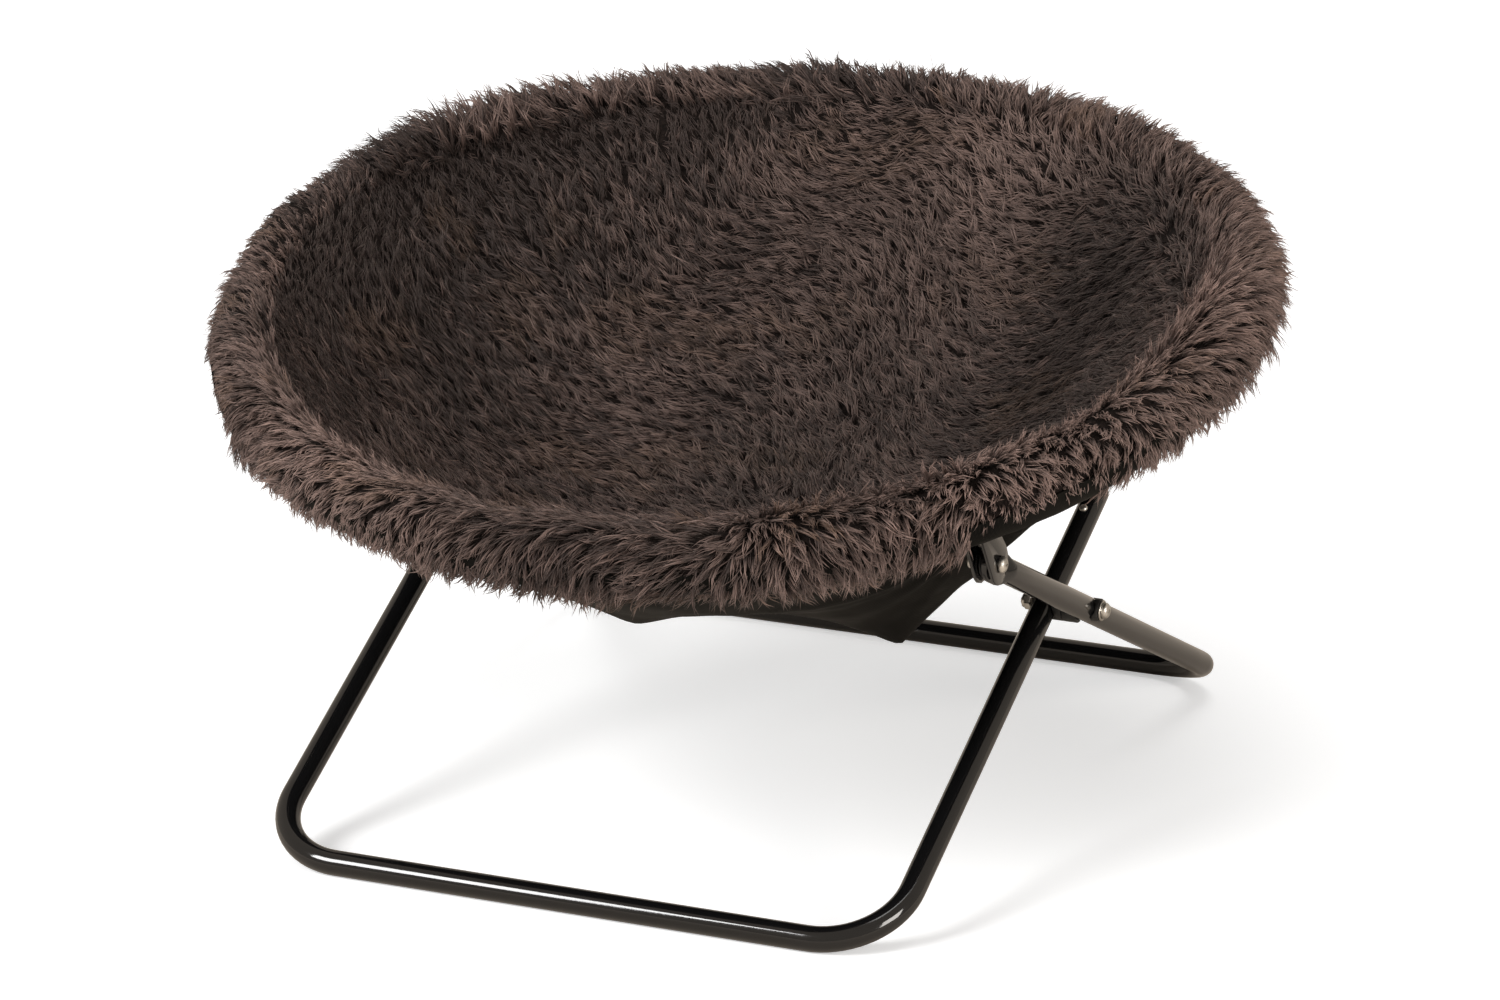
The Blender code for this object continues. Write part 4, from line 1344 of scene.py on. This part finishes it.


# Dish

# Spots of painted light and painted shade on the dish's pile, lighter or darker where light falls more or
# less in the bowl, and darker at its bottom: x, y, z, radius and change
DISH_LIGHT_AND_SHADE_SPOTS = (
    (-0.040, 0.205, 0.280, 0.045, 0.45),
    (0.070, 0.210, 0.283, 0.060, 0.80),
    (-0.130, 0.190, 0.275, 0.060, -0.38),
    (0.149, 0.146, 0.254, 0.050, -0.40),
    (0.144, 0.085, 0.205, 0.070, -0.60),
    (0.160, -0.040, 0.190, 0.080, -0.60),
    (-0.210, 0.003, 0.229, 0.085, -0.58),
    (-0.200, 0.101, 0.263, 0.070, -0.45),
    (0.0, 0.0, 0.150, 0.120, -0.22),
)


@dataclass
class DishPad(Tufted):
    """Half of the padded dish: wadding under plush, seated on the rolled rim."""

    stem: str = "dish"
    strand: Strand = DISH_STRAND
    tufts: int = 7900
    strands: int = 8
    hairs: int = 120
    spread: float = 0.0026
    first_seed: int = 80
    seed_step: int = 5
    spare: float = 1.04
    lift: float = 32.0
    stray: float = 0.14
    keep: float = 0.06
    cells: int = 72
    top_seat: float = math.radians(-24)
    low_seat: float = math.radians(17)
    seat_radius: float = 0.0174
    top_sink: float = 0.0062

    def top(self, x: np.ndarray, y: np.ndarray) -> np.ndarray:
        """Places on the pad's upper face, which is a little lumpy.

        Args:
            x: Places across on the unit disc.
            y: Places away from the parting line on the unit disc.

        Returns:
            The points.
        """
        points = PLAN.bowl(self.half, x, y, self.top_seat, PLAN.plush_depth + self.top_sink, self.seat_radius)
        points[..., 2] -= 0.6 * sag(self.half, x, y, RAISED)
        lump = swirl(points.reshape(-1, 3), 0.075, 21).reshape(x.shape)
        points[..., 2] += 0.0016 * lump * (1 - np.hypot(x, y) ** 4)
        return points

    def bottom(self, x: np.ndarray, y: np.ndarray) -> np.ndarray:
        """Places on the pad's lower face.

        Args:
            x: Places across on the unit disc.
            y: Places away from the parting line on the unit disc.

        Returns:
            The points.
        """
        depth = PLAN.plush_depth + PLAN.layer_step + PLAN.wadding_step - 0.0008
        points = PLAN.bowl(self.half, x, y, self.low_seat, depth, self.seat_radius)
        points[..., 2] -= sag(self.half, x, y, RAISED)
        return points

    def build(self, finishes: Finishes) -> bpy.types.Object:
        """Builds the pad.

        Args:
            finishes: The nest's finishes.

        Returns:
            The piece.
        """
        shape = Shape()
        mesh = shape.mesh
        x, y = shape.disc(self.cells, self.end_gap)
        upper = list(mesh.verts)
        numbers = {tuple(np.round(vert.co[:2], 5)): number for number, vert in enumerate(upper)}
        grown = bmesh.ops.extrude_face_region(mesh, geom=mesh.faces[:])["geom"]
        lower = [item for item in grown if isinstance(item, bmesh.types.BMVert)]
        for verts, points in ((upper, self.top(x, y)), (lower, self.bottom(x, y))):
            for vert in verts:
                vert.co = points[numbers[tuple(np.round(vert.co[:2], 5))]]
        bmesh.ops.recalc_face_normals(mesh, faces=mesh.faces)
        word = self.half.word
        nodes = [f"plush_dish_{word}", f"wadding_{word}"]
        piece = shape.finish(Label(f"dish_pad_{word}", self.half.body, "plush", nodes), finishes.backing)
        return crumple(piece)

    def even(self, share: np.ndarray) -> np.ndarray:
        """Spreads tufts so that the steep wall gets as many for its area as the middle.

        Args:
            share: Places from 0 to 1.

        Returns:
            Distances from the middle on the unit disc.
        """
        reach = np.linspace(0, 1, 200)
        slope = PLAN.plush_depth * PLAN.bowl_power * reach ** (PLAN.bowl_power - 1) / PLAN.radius
        filled = np.cumsum(reach * np.sqrt(1 + slope**2))
        return np.interp(share, filled / filled[-1], reach)

    def bed(self, rng: np.random.Generator) -> Bed:
        """Chooses where the dish's tufts grow and how they lie.

        Args:
            rng: The random draws.

        Returns:
            The tufts.
        """
        count = int(self.tufts * self.spare)
        first, second = scatter(count, rng)
        radius = self.even(first) * 0.997
        angle = self.margin + (math.pi - 2 * self.margin) * second
        x, y = radius * np.cos(angle), radius * np.sin(angle)
        root = self.top(x, y)
        right, away = self.top(x + 0.004, y) - root, self.top(x, y + 0.004) - root
        normal = unit(np.cross(right, away) * self.half.value)
        outward = unit(np.stack([root[:, 0], root[:, 1], np.full(count, 0.02)], -1))
        wander = swirl(root, 0.15, 33) * 0.55
        edge = np.clip((radius - 0.86) / 0.12, 0, 1)
        # A band along the dish's edge on its left, where the pile is shorter and its tone darker as painted
        # shade
        crease = edge * np.clip((0.10 - root[:, 0]) / 0.15, 0, 1)
        leftward = 0.85 - 0.6 * edge * np.clip(root[:, 0] / 0.10, 0, 1)
        way = outward * 0.55 - unit(right) * leftward[:, None]
        lay = comb(way, normal, wander, rng.normal(0, self.stray, (count, 3)))
        length = self.pile_length * rng.uniform(*self.lengths, count) * (1 - 0.35 * crease)
        lift = np.radians(rng.normal(self.lift, self.lift_spread, count))
        rust = 0.25 * rng.uniform(0, 1, count) * (swirl(root, 0.09, 14) > 0.5)
        # Tone: the painted light and painted shade spots over a base darker than the rim's, painted as less
        # light in the bowl, with painted shade in the crease band, plus random swirls
        tone = patches(root, DISH_LIGHT_AND_SHADE_SPOTS, 0.42, 57) - 0.45 * crease
        return Bed(root - normal * self.root_sink, normal, lay, length, lift, rust, tone)


# Sling


@dataclass
class Sling:
    """Half of the woven sling below the dish, with slack lobes and folds drawn to the hangers."""

    half: Half
    cells: int = 132
    seat: float = math.radians(31)
    seat_radius: float = 0.02108
    thickness: float = 0.0009
    edge_gap: float = 0.00002
    hanger: tuple[float, float] = (0.745, 0.53)
    pleats: float = 0.0008
    folds: float = 0.0011
    keep: float = 0.06

    def face(self, x: np.ndarray, y: np.ndarray) -> np.ndarray:
        """Places on the cloth.

        Args:
            x: Places across on the unit disc.
            y: Places away from the parting line on the unit disc.

        Returns:
            The points.
        """
        depth = PLAN.plush_depth + PLAN.layer_step + PLAN.wadding_step + 0.0006
        points = PLAN.bowl(self.half, x, y, self.seat, depth, self.seat_radius)
        points[..., 2] -= sag(self.half, x, y, RAISED + LOBES)
        reach = np.hypot(x, y)
        edge = np.clip((reach - 0.62) / 0.3, 0, 1) * np.clip((1 - reach) / 0.03, 0, 1)
        angle = np.arctan2(y, x)
        gather = np.sin(52 * angle + 2.2 * np.sin(7 * angle)) * (0.6 + 0.4 * np.sin(11 * angle + 1))
        points[..., 2] -= self.pleats * edge * (1 + gather)
        for side in Side:
            from_x, from_y = x - side.value * self.hanger[0], y - self.hanger[1]
            away = np.hypot(from_x, from_y)
            turn = np.arctan2(from_y, from_x)
            ridges = 2 * (0.5 + 0.5 * np.sin(13 * turn + 1.5 * side.value)) ** 4 - 1
            fan = ridges + 0.4 * np.sin(29 * turn + 0.8)
            fade = np.clip(away / 0.12, 0, 1) * np.exp(-((away / 0.42) ** 2))
            fade = fade * np.clip((1 - reach) / 0.05, 0, 1)
            points[..., 2] -= self.folds * fade * (1 + fan)
        return points

    def build(self, finishes: Finishes) -> bpy.types.Object:
        """Builds the cloth.

        Args:
            finishes: The nest's finishes.

        Returns:
            The piece.
        """
        shape = Shape()
        mesh = shape.mesh
        x, y = shape.disc(self.cells, self.edge_gap)
        cloth = mesh.loops.layers.uv.new("cloth")
        for vert, across, away in zip(mesh.verts, x, y):
            for loop in vert.link_loops:
                loop[cloth].uv = (across * PLAN.radius, away * PLAN.radius)
        for vert, point in zip(mesh.verts, self.face(x, y)):
            vert.co = point
        bmesh.ops.recalc_face_normals(mesh, faces=mesh.faces)
        if sum(face.normal.z for face in mesh.faces) > 0:
            bmesh.ops.reverse_faces(mesh, faces=mesh.faces)
        area = sum(face.calc_area() for face in mesh.faces)
        bmesh.ops.solidify(mesh, geom=mesh.faces[:], thickness=self.thickness)
        bmesh.ops.recalc_face_normals(mesh, faces=mesh.faces)
        word = self.half.word
        label = Label(f"sling_cloth_{word}", self.half.body, "black_weave", [f"sling_{word}"])
        piece = shape.finish(label, finishes.weave)
        LOG.info("%s: %.4f square metres of cloth", piece.name, area)
        return crumple(piece)


@dataclass
class Casing:
    """Half of the woven casing that wraps the roll's underside and carries the sling."""

    half: Half
    first: float = math.radians(4)
    last: float = math.radians(-158)
    reach: float = 0.0176
    thickness: float = 0.0010
    steps: int = 170
    points: int = 13
    margin: float = 0.03
    gather: float = 0.00035
    slit: float = 0.0045
    slit_span: float = 0.10
    slit_away: float = 0.17
    hanger_angle: float = math.radians(36)

    def lift(self, angle: np.ndarray, share: np.ndarray) -> np.ndarray:
        """How far the band stands off the roll: gathers, and a slit that opens beside each hanger.

        Args:
            angle: Angles round the hoop.
            share: Places across the band from its outer to its inner edge, 0 to 1.

        Returns:
            The distances in metres.
        """
        gathers = self.gather * np.sin(61 * angle + 2 * np.sin(9 * angle)) * share
        away = np.minimum(angle, math.pi - angle) - self.hanger_angle + self.slit_away
        beside = np.exp(-((away / self.slit_span) ** 2))
        return gathers + self.slit * beside * np.clip((share - 0.35) / 0.65, 0, 1)

    def build(self, finishes: Finishes) -> bpy.types.Object:
        """Builds the casing.

        Args:
            finishes: The nest's finishes.

        Returns:
            The piece.
        """
        angle = np.linspace(self.margin, math.pi - self.margin, self.steps)[:, None]
        share = np.linspace(0, 1, self.points)[None]
        turn = self.first + (self.last - self.first) * share
        centre, normal = PLAN.roll(self.half, angle, turn)
        pad = RimPad(self.half)
        reach = self.reach * (1 - pad.slim(angle) * np.clip(np.cos(turn), 0, 1)) + self.lift(angle, share)
        reach = reach[..., None]
        outer, inner = centre + normal * reach, centre + normal * (reach - self.thickness)
        rings = pad.clear_fold(np.concatenate([outer, inner[:, ::-1]], 1))
        shape = Shape()
        shape.loft(rings)
        label = Label(f"sling_casing_{self.half.word}", self.half.body, "black_weave")
        piece = shape.finish(label, finishes.hem)
        return piece


# Hardware

SIXTH = math.pi / 6


def hexagon(corner: float, first: float, last: float) -> Form:
    """Makes the form of a hexagon between two places along a turned piece.

    Args:
        corner: The radius at the hexagon's corners.
        first: Where the hexagon starts.
        last: Where it ends.

    Returns:
        The form.
    """

    def radius_at(place: float, radius: float, angle: float) -> float:
        """The hexagon's radius, where the turned one reaches past it."""
        inside = corner * math.cos(SIXTH) / math.cos((angle + SIXTH) % (2 * SIXTH) - SIXTH)
        return min(radius, inside) if first - 1e-6 <= place <= last + 1e-6 else radius

    return radius_at


def cross_slot(top: float, span: float) -> Form:
    """Makes the form of a cross-shaped driver slot at the top of a turned head.

    Args:
        top: The lowest place that belongs to the slot.
        span: The slot's radius.

    Returns:
        The form.
    """

    def radius_at(place: float, radius: float, angle: float) -> float:
        """The slot's radius, wide along its four arms."""
        arm = max(abs(math.cos(angle)), abs(math.sin(angle))) ** 14
        return radius * (0.34 + 0.66 * arm) if place > top and radius <= span * 1.01 else radius

    return radius_at


@dataclass
class Fastener:
    """A turned piece whose axis lies along X, fitted to the node that it stands for."""

    node: str
    body: str
    side: Side
    outward: int = 1
    sides: int = 24
    slot: str = "zinc"

    def turn(self, shape: Shape, length: float) -> None:
        """Turns a shape about +X to the node's length, from its inner end."""
        raise NotImplementedError

    def build(self, finishes: Finishes) -> bpy.types.Object:
        """Builds the piece where its node is.

        Args:
            finishes: The nest's finishes.

        Returns:
            The piece.
        """
        low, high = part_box(self.node)
        facing = self.side.value * self.outward
        seat = Vector((low.x if facing > 0 else high.x, (low.y + high.y) / 2, (low.z + high.z) / 2))
        shape = Shape()
        self.turn(shape, high.x - low.x)
        shape.aim(seat, Vector((facing, 0, 0)))
        label = Label(f"{self.node}_turned", self.body, self.slot, [self.node])
        return shape.finish(label, finishes.by_slot()[self.slot], crease=32)


# Places up a pan head with its radii there, as shares of its height and radius
PAN = ((0.0, 0.97), (0.1, 1.0), (0.35, 0.985), (0.6, 0.9), (0.8, 0.75), (0.93, 0.57), (0.99, 0.44))


@dataclass
class PanBolt(Fastener):
    """A pan-head bolt with a cross slot, a plain shank and a cut thread."""

    head: float = 0.003
    head_radius: float = 0.0043
    shank: float = 0.0025
    chamfer: float = 0.0004
    pitch: float = 0.0008
    thread: float = 0.0072
    slot_share: float = 0.40

    def turn(self, shape: Shape, length: float) -> None:
        """Turns the bolt about +X, from its inner end.

        Args:
            shape: The empty shape.
            length: The node's length.
        """
        seat = length - self.head
        stations = [(0.0, self.shank * 0.72), (self.chamfer, self.shank * 0.9)]
        for step in range(int(self.thread / self.pitch)):
            start = self.chamfer + step * self.pitch
            stations.append((start + self.pitch * 0.45, self.shank))
            stations.append((start + self.pitch, self.shank * 0.88))
        stations.append((self.thread + self.pitch, self.shank))
        stations.append((seat, self.shank))
        for place, radius in PAN:
            stations.append((seat + self.head * place, self.head_radius * radius))
        span = self.head_radius * self.slot_share
        stations.append((seat + self.head, span))
        stations.append((seat + self.head * 0.55, span * 0.7))
        stations.append((seat + self.head * 0.45, span * 0.3))
        shape.lathe(stations, self.sides, form=cross_slot(seat + self.head * 0.3, span))


@dataclass
class LockNut(Fastener):
    """A lock nut: a chamfered hexagon with the round collar of its insert."""

    corner: float = 0.0046
    height: float = 0.0036
    collar: float = 0.0037
    bore: float = 0.0028
    chamfer: float = 0.0004

    def turn(self, shape: Shape, length: float) -> None:
        """Turns the nut about +X, from its inner end.

        Args:
            shape: The empty shape.
            length: The node's length.
        """
        face = self.corner * math.cos(SIXTH)
        stations = [
            (0.0, face * 0.97),
            (self.chamfer, self.corner),
            (self.height - self.chamfer, self.corner),
            (self.height, face * 0.95),
            (self.height, self.collar),
            (length - 0.0005, self.collar),
            (length - 0.0001, self.collar * 0.93),
            (length, self.bore * 1.12),
        ]
        shape.lathe(stations, self.sides, bore=self.bore, form=hexagon(self.corner, 0.0, self.height))


@dataclass
class FlatWasher(Fastener):
    """A stamped washer with eased edges."""

    sides: int = 40
    radius: float = 0.0053
    bore: float = 0.0028
    ease: float = 0.00022

    def turn(self, shape: Shape, length: float) -> None:
        """Turns the washer about +X, from its inner end.

        Args:
            shape: The empty shape.
            length: The node's length.
        """
        low, high = (0.0, self.ease), (length - self.ease, length)
        radii = (self.radius - self.ease, self.radius, self.radius, self.radius - self.ease)
        shape.lathe(list(zip(low + high, radii)), self.sides, bore=self.bore)


@dataclass
class DomeRivet:
    """A small domed rivet in a side tube of the front leg frame."""

    side: Side
    place_up: float = 0.064448
    stand: float = 0.00685
    radius: float = 0.0022
    height: float = 0.0016
    edge: float = 0.0004
    shank: float = 0.0015

    def build(self, leg_frame: LegFrame, finishes: Finishes) -> bpy.types.Object:
        """Builds the rivet.

        Args:
            leg_frame: The frame that carries it.
            finishes: The nest's finishes.

        Returns:
            The piece.
        """
        along, normal = leg_frame.axes()
        tube = Vector((self.side.value * leg_frame.half_width, -PLAN.middle_y, leg_frame.pivot_z))
        seat = tube + along * self.place_up + normal * (self.stand - self.edge)
        stations = [(-self.shank, self.radius * 0.5), (0.0, self.radius * 0.55)]
        stations += [(0.0, self.radius), (self.edge, self.radius)]
        for degrees in (15, 35, 55, 72, 84):
            angle = math.radians(degrees)
            place = self.edge + (self.height - self.edge / 2) * math.sin(angle)
            stations.append((place, self.radius * math.cos(angle)))
        shape = Shape()
        shape.lathe(stations, 24)
        shape.aim(seat, normal)
        node = f"frame_rivet_{self.side.word}"
        return shape.finish(Label(f"{node}_dome", leg_frame.body, "zinc", [node]), finishes.zinc)


@dataclass
class EasedPlate:
    """A pressed or moulded piece: the node's own form with its edges eased."""

    node: str
    body: str
    slot: str
    ease: float = 0.00035
    flat_limit: float = math.radians(1.5)
    sharp_limit: float = math.radians(38)

    def build(self, finishes: Finishes) -> bpy.types.Object:
        """Builds the piece.

        Args:
            finishes: The nest's finishes.

        Returns:
            The piece.
        """
        shape = Shape()
        mesh = shape.mesh
        mesh.from_mesh(bpy.data.objects[self.node].data)
        bmesh.ops.remove_doubles(mesh, verts=mesh.verts, dist=1e-5)
        bmesh.ops.dissolve_limit(mesh, angle_limit=self.flat_limit, verts=mesh.verts, edges=mesh.edges)
        inner = [edge for edge in mesh.edges if edge.is_manifold]
        sharp = [edge for edge in inner if edge.calc_face_angle() > self.sharp_limit]
        bmesh.ops.bevel(
            mesh,
            geom=sharp,
            offset=self.ease,
            offset_type="OFFSET",
            affect="EDGES",
            segments=2,
            profile=0.5,
            material=-1,
            clamp_overlap=True,
        )
        label = Label(f"{self.node}_eased", self.body, self.slot, [self.node])
        return shape.finish(label, finishes.by_slot()[self.slot])


def pivots(side: Side, finishes: Finishes) -> None:
    """Builds the stack where two side tubes cross.

    Args:
        side: The side of the nest.
        finishes: The nest's finishes.
    """
    word = side.word
    PanBolt(f"pivot_bolt_{word}", "front_legs", side).build(finishes)
    LockNut(f"pivot_nut_{word}", "front_legs", side, outward=-1).build(finishes)
    FlatWasher(f"pivot_washer_{word}", "front_legs", side).build(finishes)
    EasedPlate(f"pivot_spacer_inner_{word}", "front_legs", "black_plastic").build(finishes)
    EasedPlate(f"pivot_spacer_outer_{word}", "rear_legs", "black_plastic").build(finishes)
    EasedPlate(f"pivot_saddle_washer_{word}", "rear_legs", "black_plastic").build(finishes)


def hanger(half: Half, side: Side, finishes: Finishes) -> None:
    """Builds one hanger with its bolt, nut and thin washers.

    Args:
        half: The half of the hoop that it hangs from.
        side: The side of the nest.
        finishes: The nest's finishes.
    """
    word, hand, body = half.word, side.word, half.body
    EasedPlate(f"{word}_hanger_{hand}", body, "black_paint", ease=0.00045).build(finishes)
    PanBolt(f"{word}_hanger_bolt_{hand}", body, side).build(finishes)
    LockNut(f"{word}_hanger_nut_{hand}", body, side, outward=-1).build(finishes)
    for where in ("inner", "outer"):
        node = f"{word}_nylon_washer_{where}_{hand}"
        FlatWasher(node, body, side, slot="nylon", radius=0.007).build(finishes)


def hinge(side: Side, finishes: Finishes) -> None:
    """Builds the two halves of the hoop's hinge at one side."""
    EasedPlate(f"hinge_ears_{side.word}", Half.FRONT.body, "black_paint").build(finishes)
    EasedPlate(f"hinge_lug_{side.word}", Half.REAR.body, "black_paint").build(finishes)


# Stage


WHITE = (1.0, 1.0, 1.0)


@dataclass(frozen=True)
class Lamp:
    """A square softbox: its place, the length of its side, its power in watts and its colour."""

    name: str
    place: tuple[float, float, float]
    size: float
    power: float
    colour: Colour = WHITE

    def build(self, target: Vector) -> None:
        """Hangs the softbox.

        Args:
            target: The point that it faces.
        """
        data = bpy.data.lights.new(self.name, "AREA")
        data.shape = "SQUARE"
        data.size = self.size
        data.energy = self.power
        data.color = self.colour
        lamp = put(self.name, data)
        lamp.location = self.place
        lamp.rotation_euler = (target - Vector(self.place)).to_track_quat("-Z", "Y").to_euler()


@dataclass
class Stage:
    """The pale floor, the soft studio light and the camera."""

    camera_place: tuple[float, float, float] = (1.1613, -2.7344, 1.1215)
    target: tuple[float, float, float] = (0.0, 0.0093, 0.1444)
    roll: float = math.radians(-0.05)
    lens: float = 144.24
    lit_height: float = 0.18
    lamps: tuple[Lamp, ...] = (
        Lamp("key_left", (-1.6, -2.3, 1.8), 1.2, 92),
        Lamp("fill_right", (2.2, -0.9, 0.75), 1.0, 36, (1, 0.95, 0.90)),
        Lamp("top", (0.1, 0.2, 2.4), 1.4, 22),
    )
    floor_seen: Colour = (0.86, 0.86, 0.86)
    floor_mirrored: Colour = (0.66, 0.570, 0.475)
    room_mirrored: Colour = (0.50, 0.435, 0.365)
    room_light: float = 0.30

    def camera(self) -> None:
        """Sets the camera at the photograph's viewing angle."""
        data = bpy.data.cameras.new("camera")
        data.lens = self.lens
        data.sensor_width = 36
        data.clip_end = 50
        camera = put("camera", data)
        camera.location = self.camera_place
        look = (Vector(self.target) - Vector(self.camera_place)).to_track_quat("-Z", "Y").to_matrix()
        camera.rotation_euler = (look @ Matrix.Rotation(self.roll, 3, "Z")).to_euler()
        bpy.context.scene.camera = camera

    def floor(self) -> None:
        """Lays the plain pale floor, which the camera sees white outside the shadow."""
        mesh = bmesh.new()
        bmesh.ops.create_grid(mesh, x_segments=1, y_segments=1, size=6)
        data = bpy.data.meshes.new("floor")
        mesh.to_mesh(data)
        mesh.free()
        nodes = Nodes.named("floor_white")
        paths = nodes.add("LightPath").outputs
        colour = nodes.blend(paths["Is Glossy Ray"], self.floor_seen, self.floor_mirrored)
        nodes.shade(Base_Color=colour, Roughness=0.9, Specular_IOR_Level=0.1)
        away = nodes.add("VectorMath", {0: nodes.place()}, operation="LENGTH").outputs["Value"]
        glow = nodes.reckon("MULTIPLY", paths["Is Camera Ray"], nodes.ramp(away, 0.9, 2.4, 0.42, 0.92))
        nodes.shade(Emission_Color=WHITE, Emission_Strength=glow)
        data.materials.append(nodes.owner)
        put("floor", data)

    def world(self) -> None:
        """Fills the room with even light and shows white behind the floor."""
        world = bpy.data.worlds.new("studio")
        bpy.context.scene.world = world
        nodes = Nodes(world, "Background")
        paths = nodes.add("LightPath").outputs
        seen = nodes.reckon("MAXIMUM", paths["Is Camera Ray"], paths["Is Glossy Ray"])
        nodes.shade(Strength=nodes.ramp(seen, 0.0, 1.0, self.room_light, 1.0))
        nodes.shade(Color=nodes.blend(paths["Is Glossy Ray"], WHITE, self.room_mirrored))

    def build(self) -> None:
        """Sets everything that isn't part of the nest."""
        self.camera()
        self.floor()
        self.world()
        for lamp in self.lamps:
            lamp.build(Vector((0, 0, self.lit_height)))
        bpy.context.scene.view_settings.view_transform = "Standard"


def dress_frame(frame: dict[str, Any], finishes: Finishes) -> None:
    """Gives every CAD node that stays its finish.

    Args:
        finishes: The nest's finishes.
    """
    dresses = finishes.by_slot()
    for name, node in frame["nodes"].items():
        for slot in node.material_slots:
            found = [word for word in dresses if slot.material and slot.material.name.startswith(word)]
            slot.material = dresses[max(found, key=len)] if found else finishes.paint


def main() -> None:
    """Builds the nest's looks and reports each piece."""
    logging.basicConfig(level=logging.INFO, format="%(name)s: %(message)s")
    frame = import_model()
    Stage().build()
    finishes = Finishes()
    dress_frame(frame, finishes)
    front_legs = LegFrame(Half.FRONT, 0.16917, 0.061)
    rear_legs = LegFrame(Half.REAR, 0.19077, 0.0125)
    front_legs.build(finishes)
    rear_legs.build(finishes)
    for half in Half:
        rim = RimPad(half)
        rim.build(finishes)
        rim.dress(finishes)
        dish = DishPad(half)
        dish.build(finishes)
        dish.dress(finishes)
        Sling(half).build(finishes)
        Casing(half).build(finishes)
    for side in Side:
        pivots(side, finishes)
        hinge(side, finishes)
        DomeRivet(side).build(front_legs, finishes)
        for half in Half:
            hanger(half, side, finishes)


if __name__ == "__main__":
    main()
